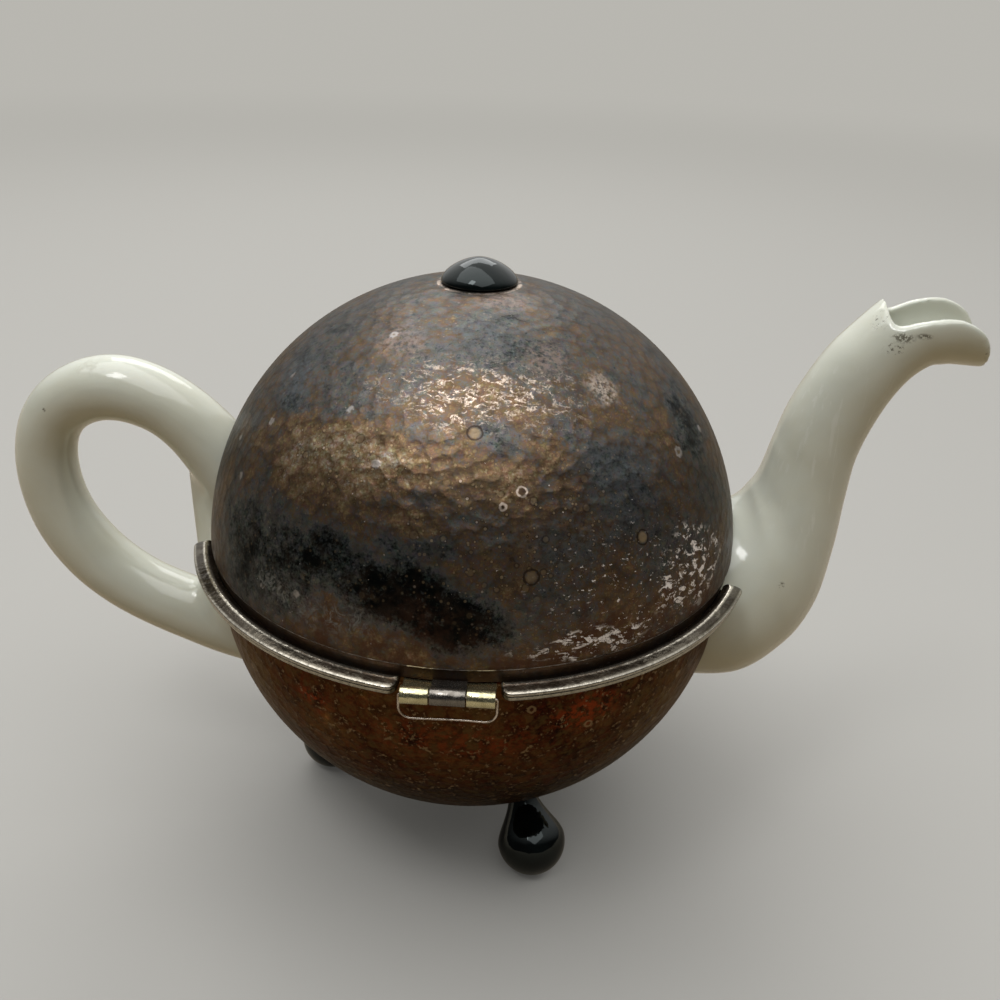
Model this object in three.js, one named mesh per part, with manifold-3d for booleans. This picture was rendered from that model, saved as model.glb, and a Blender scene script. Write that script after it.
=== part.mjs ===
// An insulated teapot: a porcelain pot in a ball-shaped jacket of two felt-lined metal halves.
// Millimetres, +Z up, the spout towards +X and the hinge towards -Y. Every height is measured from
// the centre of the bowl's sphere, until the last lines set the feet on Z = 0.
import * as THREE from 'three';
import { mergeVertices } from 'three/addons/utils/BufferGeometryUtils.js';
import Module from 'manifold-3d';

const wasm = await Module();
wasm.setup();

// General fits
const fitGap = 0.3; // between pieces that are soldered, luted, glued or screwed together
const runningGap = 0.1; // between pieces that turn on each other

// Jacket
const domeRadius = 65; // the spout and the handle are given in shares of this
const sheet = 0.9;
const seamHeight = 7;
const domeDrop = 0.7; // the dome's centre below the seam
const domeRise = seamHeight - domeDrop;
const bowlSetIn = 1.3; // the bowl's radius below the dome's
const bowlRadius = domeRadius - bowlSetIn;
const collarSetIn = 0.7; // the plain strip between the hammered dome and its rim
const collarRadius = domeRadius - collarSetIn;
const collarTop = seamHeight + 3.2;
const feltThickness = 3.5;
const feltSetBack = 0.75; // how far the felt's edges stay behind the metal's

// Rim mouldings, soldered round the edges of both halves
const rimWidth = 4.9;
const rimRadius = collarRadius + rimWidth;
const rimCrestRadius = collarRadius + 2;
const rimCrestHeight = seamHeight + 1.45;
const rimEdge = 0.7; // height of the rim's upright outer edge
const bowlRimSetIn = 0.3;
const bowlRimRadius = rimRadius - bowlRimSetIn;
const bowlRimThickness = 1.1;
const spoutRimLap = 0.6; // how far the rims reach past the sides of the spout's slot
const handleRimGap = 1.5; // from the sides of the handle's slot back to the rims' ends

// Slots that the spout and the handle come out of
const slotClearance = 2;
const handleSlotHalfWidth = 0.2231 * domeRadius;
const handleSlotTop = 0.5308 * domeRadius;
const handleSlotBottom = -0.6308 * domeRadius;
const handleSlotBend = -0.2154 * domeRadius; // height where the slot's sides start to draw in

// Hinge at the front of the rim
const barrelRadius = 1.85;
const hingeHeight = seamHeight + 0.5;
const hingeReach = rimRadius + 0.2; // from the ball's axis out to the hinge's
const hingeLeafThickness = 0.6;
const outerKnuckleLength = 5.65;
const middleKnuckleLength = 7.1;
const knuckleGap = 0.2;
const wireRadius = 0.22;
const wireDrop = 5.7;
const wireBottomBend = 2.5;
const wireEndGap = 1; // between the wire's two ends, inside the barrel
const wireSideGap = 0.15; // between the barrel's ends and the wire's legs
const barrelHalfLength = middleKnuckleLength / 2 + knuckleGap + outerKnuckleLength;
// Half of the gap that the rims leave for the hinge and its wire
const hingeRimGap = barrelHalfLength + wireSideGap + 2 * wireRadius + fitGap;

// Knob of the dome
const knobRadius = 8.8;
const knobHeight = 5.2;
const knobFullness = 1.56; // 2 would make its outline an ellipse, 1 a cone
const washerRadius = 4.8;
const washerThickness = 0.8;
const screwRadius = 1.4;
const screwHeadRadius = 2.8;
const screwHeadHeight = 1.6;
const knobScrewDepth = 3.2; // how far the screw reaches into the knob

// Feet
const footAngles = { foot_front: -61.5, foot_back: 61.5, foot_handle_side: 180 };
const footBulbRadius = 8.7;
const footReach = 0.6092 * domeRadius; // from the ball's axis to the bulb's centre
const footNeckRadius = 3.4;
const footFullness = 0.4; // how far the bulb runs straight up before it tapers, in its own radii
const footWaist = 0.69; // how far the neck runs straight, in the same measure
const groundClearance = 10; // under the bowl
const floorDepth = bowlRadius + groundClearance; // the floor below the bowl's centre
const soleFlat = 0.3; // how much the bulb is flattened to stand
const footScrewDepth = 9;
const footWasherRadius = 4.2;
const footWasherEdge = 0.6; // thickness of the shaped washer at its edge

// Porcelain pot
const potClearance = 1.5; // between the pot's belly and the bowl's felt
const potRadius = bowlRadius - sheet - fitGap - feltThickness - potClearance;
const potDomeDrop = 10.5; // the pot's upper half is an ellipse, lower than a ball by this
const potShoulder = potRadius - potDomeDrop;
const potWall = 3.8;
const potFootRadius = 26;
const potFootWidth = 3;
const potFootHeight = 2.2;
const potFootGap = 0.8; // over the felt's round floor
const potFloorThickness = 4.2;
const mouthRadius = 24.2;
const galleryWidth = 3.2; // the step in the mouth that carries the lid
const galleryDepth = 2;
const potNeckTop = potShoulder - 3.5;
const potNeckWall = 2.2;
const strainerHoleRadius = 2.2;
const strainerPitch = 7;
const strainerHoles = 6; // round one in the middle

// Lid of the pot
const lidClearance = 0.5;
const lidSkirtWall = 2.6;
const lidSkirtDepth = 5.3;
const lidRise = 5.2; // from the lid's edge to the foot of its knob
const lidKnobRadius = 6.8;
const lidKnobHeight = 8.6;
const lidKnobNeck = 4.2;
const lidWall = 3.4;
const steamHoleRadius = 1.2;
const steamHoleReach = 15;

// Spout: middle x, middle z, heading above +X in degrees, height and width of each section, where
// the lengths are shares of the dome's radius
const spoutWall = 2.4;
const beakTurn = -7; // degrees that the tip is cut askew, its far side the longer
const spoutRoot = { z: -0.0969, height: 0.7046, width: 0.6769 };
const spoutSections = [
  [0.6769, spoutRoot.z - 0.0092, 0, spoutRoot.height, spoutRoot.width],
  [1.0185, spoutRoot.z, 4, spoutRoot.height, spoutRoot.width],
  [1.1631, 0.0246, 17.5, 0.6677, 0.5846],
  [1.22, 0.1385, 27.3, 0.5938, 0.4923],
  [1.2446, 0.2885, 38, 0.4769, 0.4154],
  [1.2577, 0.4423, 50, 0.3738, 0.3538],
  [1.2769, 0.5885, 57, 0.3215, 0.3231],
  [1.3115, 0.6969, 57, 0.3062, 0.3077],
  [1.3692, 0.8223, 54, 0.2923, 0.2985],
  [1.4369, 0.9169, 48, 0.28, 0.2892],
  [1.5015, 0.9815, 40, 0.2892, 0.2985],
  [1.56, 1.0185, 23, 0.3138, 0.3138],
  [1.6492, 1.0369, 6, 0.3169, 0.3169],
  [1.7415, 1.02, -6, 0.2892, 0.3077],
  [1.8308, 1, -10, 0.2615, 0.2923],
];
// The beak is open above this line, from the bridge over the lips and down the tip: x and z,
// again in shares of the dome's radius
const beakLine = [
  [1.4031, 1.2923],
  [1.4108, 1.0862],
  [1.4246, 1.0492],
  [1.4431, 1.0292],
  [1.4769, 1.0369],
  [1.5169, 1.0523],
  [1.5692, 1.0662],
  [1.6231, 1.0723],
  [1.6692, 1.0631],
  [1.7108, 1.0431],
  [1.74, 1.0154],
  [1.76, 0.98],
  [1.7708, 0.9385],
  [1.7754, 0.9015],
  [1.7785, 0.7692],
  [1.9385, 0.7692],
  [1.9385, 1.2923],
];

// Handle: middle x, middle z and diameter of the round section, from the lower root to the upper,
// all in shares of the dome's radius
const handleSections = [
  [-0.5846, -0.4692, 0.3385],
  [-0.9538, -0.4231, 0.2862],
  [-1.1646, -0.3677, 0.2554],
  [-1.3985, -0.2585, 0.2508],
  [-1.5015, -0.1646, 0.2523],
  [-1.5954, -0.0538, 0.2492],
  [-1.6508, 0.0554, 0.2385],
  [-1.68, 0.1785, 0.2323],
  [-1.6846, 0.3, 0.2277],
  [-1.6662, 0.4046, 0.2231],
  [-1.6246, 0.5015, 0.2231],
  [-1.5508, 0.5754, 0.2323],
  [-1.44, 0.6246, 0.2462],
  [-1.3446, 0.6323, 0.2508],
  [-1.2538, 0.6077, 0.2492],
  [-1.1554, 0.5646, 0.24],
  [-1.0677, 0.4862, 0.2462],
  [-0.9892, 0.3754, 0.2677],
  [-0.8769, 0.2154, 0.3077],
];
const webFace = -1.1185 * domeRadius; // the handle's straight inner side beside the ball
const webHalfWidth = 0.1385 * domeRadius;
const webReach = 0.3692 * domeRadius; // up and down from the ball's centre
const webNose = 9; // length of the web's rounded edge
const webSpread = 3; // how much wider the web gets on its way into the pot
const webRootDepth = 12; // how deep it starts inside the pot's round wall

// Facets
const aroundBall = 36;
const aroundPot = 28;
const aroundSmall = 18;
const ballSteps = 8;
const innerSteps = 5; // for the round faces that are hidden inside

const metal = { metalness: 0.9, roughness: 0.42 };
const materials = {
  hammeredDome: new THREE.MeshStandardMaterial({ color: 0x6b5a4c, ...metal }),
  hammeredBowl: new THREE.MeshStandardMaterial({ color: 0x58281c, ...metal }),
  wornRim: new THREE.MeshStandardMaterial({ color: 0x8b8378, ...metal, roughness: 0.35 }),
  brass: new THREE.MeshStandardMaterial({ color: 0xc9b47e, ...metal, roughness: 0.28 }),
  steel: new THREE.MeshStandardMaterial({ color: 0x9a9a98, ...metal, roughness: 0.3 }),
  black: new THREE.MeshStandardMaterial({ color: 0x06090a, metalness: 0, roughness: 0.08 }),
  porcelain: new THREE.MeshStandardMaterial({ color: 0xe4e2d6, metalness: 0, roughness: 0.12 }),
  felt: new THREE.MeshStandardMaterial({ color: 0x8c8378, metalness: 0, roughness: 0.95 }),
};

const teapot = new THREE.Group();

function solidFrom(geometry) {
  geometry.deleteAttribute('normal');
  geometry.deleteAttribute('uv');
  const merged = mergeVertices(geometry, 1e-4);
  const corners = merged.index.array;
  const triangles = [];
  for (let i = 0; i < corners.length; i += 3) {
    const [a, b, c] = [corners[i], corners[i + 1], corners[i + 2]];
    if (a !== b && b !== c && c !== a) triangles.push(a, b, c);
  }
  return new wasm.Manifold(new wasm.Mesh({
    numProp: 3,
    vertProperties: merged.attributes.position.array,
    triVerts: new Uint32Array(triangles),
  }));
}

function addPart(name, solid, material) {
  const { vertProperties, triVerts } = solid.getMesh();
  const geometry = new THREE.BufferGeometry();
  geometry.setAttribute('position', new THREE.BufferAttribute(new Float32Array(vertProperties), 3));
  geometry.setIndex(new THREE.BufferAttribute(new Uint32Array(triVerts), 1));
  geometry.computeVertexNormals();
  const mesh = new THREE.Mesh(geometry, material);
  mesh.name = name;
  teapot.add(mesh);
}

// A solid of revolution about Z from [radius, height] pairs, on the axis at both ends or closed.
function revolve(profile, segments = aroundBall) {
  const points = profile.map(([radius, height]) => new THREE.Vector2(radius, height));
  const onAxis = points[0].x === 0 && points.at(-1).x === 0;
  if (THREE.ShapeUtils.area(points) < 0) points.reverse();
  if (!onAxis) points.push(points[0].clone());
  return solidFrom(new THREE.LatheGeometry(points, segments).rotateX(Math.PI / 2));
}

// Points of an arc in the profile plane, its centre on the axis at the given height.
function arc(height, radius, fromDegrees, toDegrees, steps = ballSteps) {
  return Array.from({ length: steps + 1 }, (_, i) => {
    const degrees = fromDegrees + ((toDegrees - fromDegrees) * i) / steps;
    const angle = THREE.MathUtils.degToRad(degrees);
    const onPole = Math.abs(Math.abs(degrees) - 90) < 1e-9;
    return [onPole ? 0 : radius * Math.cos(angle), height + radius * Math.sin(angle)];
  });
}

const degreesAt = (rise, radius) => THREE.MathUtils.radToDeg(Math.asin(rise / radius));
const degreesOut = (reach, radius) => THREE.MathUtils.radToDeg(Math.acos(reach / radius));

// A cylinder along Z between two heights.
function rod(radius, bottom, top, segments = aroundSmall) {
  return revolve([[0, bottom], [radius, bottom], [radius, top], [0, top]], segments);
}

function box([x0, x1], [y0, y1], [z0, z1]) {
  const geometry = new THREE.BoxGeometry(x1 - x0, y1 - y0, z1 - z0);
  geometry.translate((x0 + x1) / 2, (y0 + y1) / 2, (z0 + z1) / 2);
  return solidFrom(geometry);
}

// A bar along X with the given outline in the Y-Z plane.
function barAlongX(shape, from, to) {
  const geometry = new THREE.ExtrudeGeometry(shape, { depth: to - from, bevelEnabled: false, curveSegments: 8 });
  const yAxis = new THREE.Vector3(0, 1, 0);
  const zAxis = new THREE.Vector3(0, 0, 1);
  geometry.applyMatrix4(new THREE.Matrix4().makeBasis(yAxis, zAxis, new THREE.Vector3(1, 0, 0)));
  return solidFrom(geometry.translate(from, 0, 0));
}

// A bar along Y with the given outline in the X-Z plane, reaching halfWidth to both sides.
function barAlongY(points, halfWidth) {
  const shape = new THREE.Shape(points.map(([x, z]) => new THREE.Vector2(x, z)));
  const geometry = new THREE.ExtrudeGeometry(shape, { depth: 2 * halfWidth, bevelEnabled: false });
  return solidFrom(geometry.rotateX(Math.PI / 2).translate(0, halfWidth, 0));
}

// Sections in the X-Z plane, smoothed to the given number of steps.
function smoothSections(sections, steps) {
  const middles = sections.map(([x, z, heading]) => new THREE.Vector3(x, z, heading));
  const sizes = sections.map(([, , , height, width]) => new THREE.Vector3(height, width, 0));
  const middleCurve = new THREE.CatmullRomCurve3(middles);
  const sizeCurve = new THREE.CatmullRomCurve3(sizes);
  return Array.from({ length: steps + 1 }, (_, i) => {
    const middle = middleCurve.getPoint(i / steps);
    const size = sizeCurve.getPoint(i / steps);
    return [middle.x, middle.y, middle.z, size.x, size.y];
  });
}

// A closed solid through oval sections that all stand across the plane Y = y.
function loft(sections, sides, y = 0) {
  const positions = [];
  const triangles = [];
  sections.forEach(([x, z, heading, height, width], ring) => {
    const turn = THREE.MathUtils.degToRad(heading);
    for (let side = 0; side < sides; side++) {
      const angle = (2 * Math.PI * side) / sides;
      const up = (height / 2) * Math.cos(angle);
      positions.push(x - Math.sin(turn) * up, y - (width / 2) * Math.sin(angle), z + Math.cos(turn) * up);
      if (ring === 0) continue;
      const next = (side + 1) % sides;
      const back = (ring - 1) * sides;
      const front = ring * sides;
      triangles.push(back + side, back + next, front + next, back + side, front + next, front + side);
    }
  });
  const lastRing = (sections.length - 1) * sides;
  for (let side = 1; side < sides - 1; side++) {
    triangles.push(0, side + 1, side, lastRing, lastRing + side, lastRing + side + 1);
  }
  const geometry = new THREE.BufferGeometry();
  geometry.setAttribute('position', new THREE.Float32BufferAttribute(positions, 3));
  geometry.setIndex(triangles);
  return solidFrom(geometry);
}

// Openings for the spout and the handle, grown by a margin
const spoutSlot = {
  z: spoutRoot.z * domeRadius,
  halfWidth: (spoutRoot.width / 2) * domeRadius + slotClearance,
  halfHeight: (spoutRoot.height / 2) * domeRadius + slotClearance,
};

// The bowl's slots are open at the top, so that the pot lifts out.
function cutBowlSlots(solid, margin) {
  const spoutWidth = spoutSlot.halfWidth + margin;
  const spout = new THREE.Shape();
  spout.moveTo(spoutWidth, seamHeight + 1);
  spout.lineTo(-spoutWidth, seamHeight + 1);
  spout.lineTo(-spoutWidth, spoutSlot.z);
  spout.absellipse(0, spoutSlot.z, spoutWidth, spoutSlot.halfHeight + margin, Math.PI, 2 * Math.PI, false);
  const handleWidth = handleSlotHalfWidth + margin;
  const handleDepth = handleSlotBend - handleSlotBottom + margin;
  const handle = new THREE.Shape();
  handle.moveTo(handleWidth, seamHeight + 1);
  handle.lineTo(-handleWidth, seamHeight + 1);
  handle.lineTo(-handleWidth, handleSlotBend);
  handle.absellipse(0, handleSlotBend, handleWidth, handleDepth, Math.PI, 2 * Math.PI, false);
  return solid
    .subtract(barAlongX(spout, 0.4 * bowlRadius, 1.2 * bowlRadius))
    .subtract(barAlongX(handle, -1.2 * bowlRadius, -0.4 * bowlRadius));
}

// The dome's slots are arches over the spout's root and the handle's upper branch.
function cutDomeSlots(solid, margin) {
  const spout = new THREE.Shape();
  const spoutHeight = spoutSlot.halfHeight + margin;
  spout.absellipse(0, spoutSlot.z, spoutSlot.halfWidth + margin, spoutHeight, 0, 2 * Math.PI, false);
  const handleWidth = handleSlotHalfWidth + margin;
  const handleHeight = handleSlotTop - seamHeight + margin;
  const handle = new THREE.Shape();
  handle.absellipse(0, seamHeight, handleWidth, handleHeight, 0, 2 * Math.PI, false);
  return solid
    .subtract(barAlongX(spout, 0.4 * domeRadius, 1.2 * domeRadius))
    .subtract(barAlongX(handle, -1.2 * domeRadius, -0.4 * domeRadius));
}

// Feet: each stands square to the bowl's wall, with its screw along the same axis
const bulbHeight = footBulbRadius - soleFlat - floorDepth;
const lean = Math.atan2(footReach, -bulbHeight);
// Distance from the bulb's centre up the foot's axis to a sphere round the bowl's centre.
const alongFootTo = (radius) => Math.hypot(footReach, bulbHeight) - radius;
// Turns a solid from its own Z axis onto the axis of a foot, its origin at the bulb's centre.
function placeOnFoot(solid, degrees) {
  const angle = THREE.MathUtils.degToRad(degrees);
  const matrix = new THREE.Matrix4()
    .makeRotationZ(angle)
    .multiply(new THREE.Matrix4().makeTranslation(footReach, 0, bulbHeight))
    .multiply(new THREE.Matrix4().makeRotationY(-lean));
  return solid.transform(matrix.elements);
}
const bowlOutside = (grow) => revolve(arc(0, bowlRadius + grow, -90, 90, 2 * ballSteps));
const bowlInside = (grow) => revolve(arc(0, bowlRadius - sheet + grow, -90, 90, 2 * ballSteps));
// The washer's edge touches the round wall further up the axis than its middle
const washerWall = Math.sqrt((bowlRadius - sheet) ** 2 - footWasherRadius ** 2);
const screwSeat = alongFootTo(washerWall) + footWasherEdge;

function footSolid(degrees) {
  const neckTop = alongFootTo(bowlRadius) + 4 * fitGap;
  const bulb = arc(0, footBulbRadius, -90, 0, 5);
  const taper = new THREE.CubicBezierCurve(
    new THREE.Vector2(footBulbRadius, 0),
    new THREE.Vector2(footBulbRadius, footFullness * footBulbRadius),
    new THREE.Vector2(footNeckRadius, neckTop - footWaist * footBulbRadius),
    new THREE.Vector2(footNeckRadius, neckTop),
  );
  const taperPoints = taper.getPoints(5).slice(1).map(({ x, y }) => [x, y]);
  const body = revolve([...bulb, ...taperPoints, [0, neckTop]], 14);
  const hole = rod(screwRadius + fitGap, screwSeat - footScrewDepth - 2 * fitGap, neckTop + 1, 10);
  const below = box([-floorDepth, floorDepth], [-floorDepth, floorDepth], [-2 * floorDepth, -floorDepth]);
  return placeOnFoot(body.subtract(hole), degrees).subtract(bowlOutside(fitGap)).subtract(below);
}

function footScrew(degrees) {
  const under = screwSeat + fitGap / 2;
  const shank = rod(screwRadius, screwSeat - footScrewDepth, under + screwHeadHeight / 2, 8);
  const head = revolve([[0, under], [screwHeadRadius, under], [screwHeadRadius, under + screwHeadHeight * 0.5],
    [screwHeadRadius * 0.6, under + screwHeadHeight], [0, under + screwHeadHeight]], 14);
  return placeOnFoot(shank.add(head), degrees);
}

function footWasher(degrees) {
  const wall = alongFootTo(bowlRadius - sheet);
  const disc = rod(footWasherRadius, wall - 3, screwSeat, 14);
  const hole = rod(screwRadius + fitGap, wall - 4, screwSeat + 1, 10);
  return placeOnFoot(disc.subtract(hole), degrees).intersect(bowlInside(-fitGap));
}

// Bowl of the jacket
const bowlEdge = seamHeight - fitGap / 2;
const bowlInner = bowlRadius - sheet;
let bowl = revolve([
  ...arc(0, bowlRadius, -90, 0),
  [bowlRadius, bowlEdge],
  [bowlInner, bowlEdge],
  ...arc(0, bowlInner, 0, -90),
]);
bowl = cutBowlSlots(bowl, 0);

const feltOuter = bowlInner - fitGap;
const feltInner = feltOuter - feltThickness;
const feltEdge = seamHeight - feltSetBack;
let bowlFelt = revolve([
  ...arc(0, feltOuter, -90, 0, innerSteps + 1),
  [feltOuter, feltEdge],
  [feltInner, feltEdge],
  ...arc(0, feltInner, 0, -90, innerSteps + 1),
]);
bowlFelt = cutBowlSlots(bowlFelt, feltSetBack);

for (const [name, degrees] of Object.entries(footAngles)) {
  bowl = bowl.subtract(placeOnFoot(rod(screwRadius + fitGap, 0, screwSeat + feltThickness, 10), degrees));
  bowlFelt = bowlFelt.subtract(placeOnFoot(rod(footWasherRadius + 2 * fitGap, 0, screwSeat + 2 * feltThickness, 14), degrees));
  addPart(name, footSolid(degrees), materials.black);
  addPart(name.replace('foot', 'foot_screw'), footScrew(degrees), materials.steel);
  addPart(name.replace('foot', 'foot_washer'), footWasher(degrees), materials.steel);
}
addPart('bowl_shell', bowl, materials.hammeredBowl);
addPart('bowl_felt', bowlFelt, materials.felt);

// Dome of the jacket, with a hole at the top for the knob's screw
const domeEdge = seamHeight + fitGap / 2;
const domeInner = domeRadius - sheet;
const collarInner = collarRadius - sheet;
const domeStart = degreesAt(collarTop + 0.3 - domeRise, domeRadius);
const knobHole = screwRadius + fitGap;
let dome = revolve([
  [collarRadius, domeEdge],
  [collarRadius, collarTop],
  ...arc(domeRise, domeRadius, domeStart, degreesOut(knobHole, domeRadius)),
  ...arc(domeRise, domeInner, degreesOut(knobHole, domeInner), domeStart + 0.5),
  [collarInner, collarTop],
  [collarInner, domeEdge],
]);
dome = cutDomeSlots(dome, 0);
addPart('dome_shell', dome, materials.hammeredDome);

const domeFeltOuter = domeInner - fitGap;
const domeFeltInner = domeFeltOuter - feltThickness;
const domeFeltEdge = seamHeight + feltSetBack;
const feltHole = washerRadius + 1.4;
const feltStart = degreesAt(collarTop + 1.8 - domeRise, domeFeltOuter);
let domeFelt = revolve([
  [collarInner - fitGap, domeFeltEdge],
  [collarInner - fitGap, collarTop],
  ...arc(domeRise, domeFeltOuter, feltStart, degreesOut(feltHole, domeFeltOuter), innerSteps + 1),
  ...arc(domeRise, domeFeltInner, degreesOut(feltHole, domeFeltInner), feltStart, innerSteps),
  [domeFeltInner - 0.1, domeFeltEdge],
]);
domeFelt = cutDomeSlots(domeFelt, feltSetBack);
addPart('dome_felt', domeFelt, materials.felt);

// Rim mouldings: whole rings, cut where the spout, the handle and the hinge pass
const spoutRimGap = spoutSlot.halfWidth - spoutRimLap;
const handleGap = handleSlotHalfWidth + handleRimGap;
function rimArcs(name, profile) {
  const ring = revolve(profile);
  const far = 2 * rimRadius;
  const open = ring
    .subtract(box([0, far], [-spoutRimGap, spoutRimGap], [0, far]))
    .subtract(box([-far, 0], [-handleGap, handleGap], [0, far]));
  addPart(`${name}_back`, open.intersect(box([-far, far], [0, far], [0, far])), materials.wornRim);
  addPart(`${name}_left`, open.intersect(box([-far, -hingeRimGap], [-far, 0], [0, far])), materials.wornRim);
  addPart(`${name}_right`, open.intersect(box([hingeRimGap, far], [-far, 0], [0, far])), materials.wornRim);
}
const domeRimInner = collarRadius + fitGap;
rimArcs('dome_rim', [
  [domeRimInner, domeEdge],
  [rimRadius - 0.25, domeEdge],
  [rimRadius, domeEdge + 0.25],
  [rimRadius, domeEdge + rimEdge - 0.15],
  [rimRadius - 0.35, domeEdge + rimEdge + 0.15],
  [rimCrestRadius + 0.4, rimCrestHeight],
  [rimCrestRadius - 0.3, rimCrestHeight - 0.1],
  [domeRimInner, rimCrestHeight - 0.8],
]);
const bowlRimInner = bowlRadius + fitGap;
rimArcs('bowl_rim', [
  [bowlRimInner, bowlEdge - bowlRimThickness],
  [bowlRimRadius - 0.4, bowlEdge - bowlRimThickness],
  [bowlRimRadius, bowlEdge - bowlRimThickness + 0.35],
  [bowlRimRadius, bowlEdge - 0.3],
  [bowlRimRadius - 0.3, bowlEdge],
  [bowlRimInner, bowlEdge],
]);

// Hinge: the bowl's leaf has the two outer knuckles, the dome's leaf the middle one
const wireHole = wireRadius + runningGap;
const middleEnd = middleKnuckleLength / 2;
const outerStart = middleEnd + knuckleGap;
const outerEnd = barrelHalfLength;

function alongHinge(radius, from, to, segments) {
  return rod(radius, from, to, segments).rotate([0, 90, 0]).translate([0, -hingeReach, hingeHeight]);
}
const barrelBore = alongHinge(wireHole, -2 * outerEnd, 2 * outerEnd, 12);
const leafY = [-hingeReach, -bowlRadius + 2];
const knuckleSweep = barrelRadius + knuckleGap;
const bowlLeaf = alongHinge(barrelRadius, outerStart, outerEnd)
  .add(alongHinge(barrelRadius, -outerEnd, -outerStart))
  .add(box([-outerEnd, outerEnd], leafY, [bowlEdge - hingeLeafThickness, bowlEdge]))
  .subtract(box([-outerStart, outerStart], [-2 * hingeReach, -hingeReach + knuckleSweep], [0, 2 * hingeHeight]))
  .subtract(barrelBore)
  .subtract(rod(bowlRadius + fitGap, -1, 2 * hingeHeight, aroundBall));
addPart('hinge_leaf_bowl', bowlLeaf, materials.brass);

const domeLeaf = alongHinge(barrelRadius, -middleEnd, middleEnd)
  .add(box([-middleEnd, middleEnd], leafY, [domeEdge, domeEdge + hingeLeafThickness]))
  .subtract(barrelBore)
  .subtract(rod(collarRadius + fitGap, -1, 2 * hingeHeight, aroundBall));
addPart('hinge_leaf_dome', domeLeaf, materials.wornRim);

// The hinge pin is one sprung wire: a loop whose two ends turn into the barrel
const wireTopBend = wireSideGap + wireRadius;
function wireSections() {
  const side = outerEnd + wireSideGap + wireRadius;
  const steps = 4;
  // The bends of the right half, with the headings that they start from
  const bends = [
    { x: side - wireTopBend, z: -wireTopBend, radius: wireTopBend, from: 0 },
    { x: side - wireBottomBend, z: wireBottomBend - wireDrop, radius: wireBottomBend, from: -90 },
  ];
  const right = [[wireEndGap / 2, 0, 0]];
  for (const { x, z, radius, from } of bends) {
    for (let i = 0; i <= steps; i++) {
      const heading = from - (90 * i) / steps;
      const angle = THREE.MathUtils.degToRad(heading + 90);
      right.push([x + radius * Math.cos(angle), z + radius * Math.sin(angle), heading]);
    }
  }
  const left = right.map(([x, z, heading]) => [-x, z, -360 - heading]).reverse();
  return [...right, ...left]
    .map(([x, z, heading]) => [x, hingeHeight + z, heading, 2 * wireRadius, 2 * wireRadius]);
}
addPart('hinge_wire', loft(wireSections(), 6, -hingeReach), materials.brass);

// Knob of the dome, with its screw and washer inside
const domeTop = domeRise + domeRadius;
const knobSeat = domeRadius + fitGap;
const knobTop = domeTop + knobHeight;
const knobUnderside = arc(domeRise, knobSeat, degreesOut(knobHole, knobSeat), degreesOut(knobRadius - 0.2, knobSeat), 3);
const knobBase = knobUnderside.at(-1)[1] + 0.2;
const knobSteps = 7;
const knobOutline = Array.from({ length: knobSteps + 1 }, (_, i) => {
  const angle = (Math.PI / 2) * (i / knobSteps);
  const radius = i === knobSteps ? 0 : knobRadius * Math.cos(angle) ** (2 / knobFullness);
  return [radius, knobBase + (knobTop - knobBase) * Math.sin(angle) ** (2 / knobFullness)];
});
const knobScrewTop = domeTop + knobScrewDepth;
const knobHoleTop = knobScrewTop + fitGap;
addPart('dome_knob', revolve([
  [0, knobHoleTop],
  [knobHole, knobHoleTop],
  ...knobUnderside,
  ...knobOutline,
], 20), materials.black);

const innerWasherTop = domeRise + Math.sqrt(domeInner ** 2 - washerRadius ** 2) - fitGap;
const innerWasherBottom = innerWasherTop - washerThickness;
const knobScrewSeat = innerWasherBottom - fitGap / 2;
const innerWasher = rod(washerRadius, innerWasherBottom, innerWasherTop)
  .subtract(rod(knobHole, innerWasherBottom - 1, innerWasherTop + 1, 10));
addPart('knob_inner_washer', innerWasher, materials.steel);
const knobScrew = rod(screwRadius, knobScrewSeat - screwHeadHeight / 2, knobScrewTop, 8)
  .add(revolve([[0, knobScrewSeat], [screwHeadRadius, knobScrewSeat],
    [screwHeadRadius, knobScrewSeat - screwHeadHeight * 0.5],
    [screwHeadRadius * 0.6, knobScrewSeat - screwHeadHeight], [0, knobScrewSeat - screwHeadHeight]], 14));
addPart('knob_screw', knobScrew, materials.steel);

// Porcelain pot: the body is turned, the spout and the handle are luted to it
const potFootSole = potFootGap - Math.sqrt(feltInner ** 2 - potFootRadius ** 2);
const potUnderside = potFootSole + potFootHeight;
const galleryRadius = mouthRadius + galleryWidth;
const neckRadius = galleryRadius + potNeckWall;
const ellipseZ = (radius, a, b) => b * Math.sqrt(1 - (radius / a) ** 2);
function shoulder(grow, fromRadius, toRadius, steps) {
  const a = potRadius + grow;
  const b = potShoulder + grow;
  const from = Math.acos(fromRadius / a);
  const to = Math.acos(toRadius / a);
  return Array.from({ length: steps + 1 }, (_, i) => {
    const angle = from + ((to - from) * i) / steps;
    return [a * Math.cos(angle), b * Math.sin(angle)];
  });
}
const bellyStart = degreesAt(potUnderside + 0.6, potRadius);
const innerFloor = potUnderside + potFloorThickness;
const innerRadius = potRadius - potWall;
const gallerySeat = potNeckTop - galleryDepth;
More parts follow.
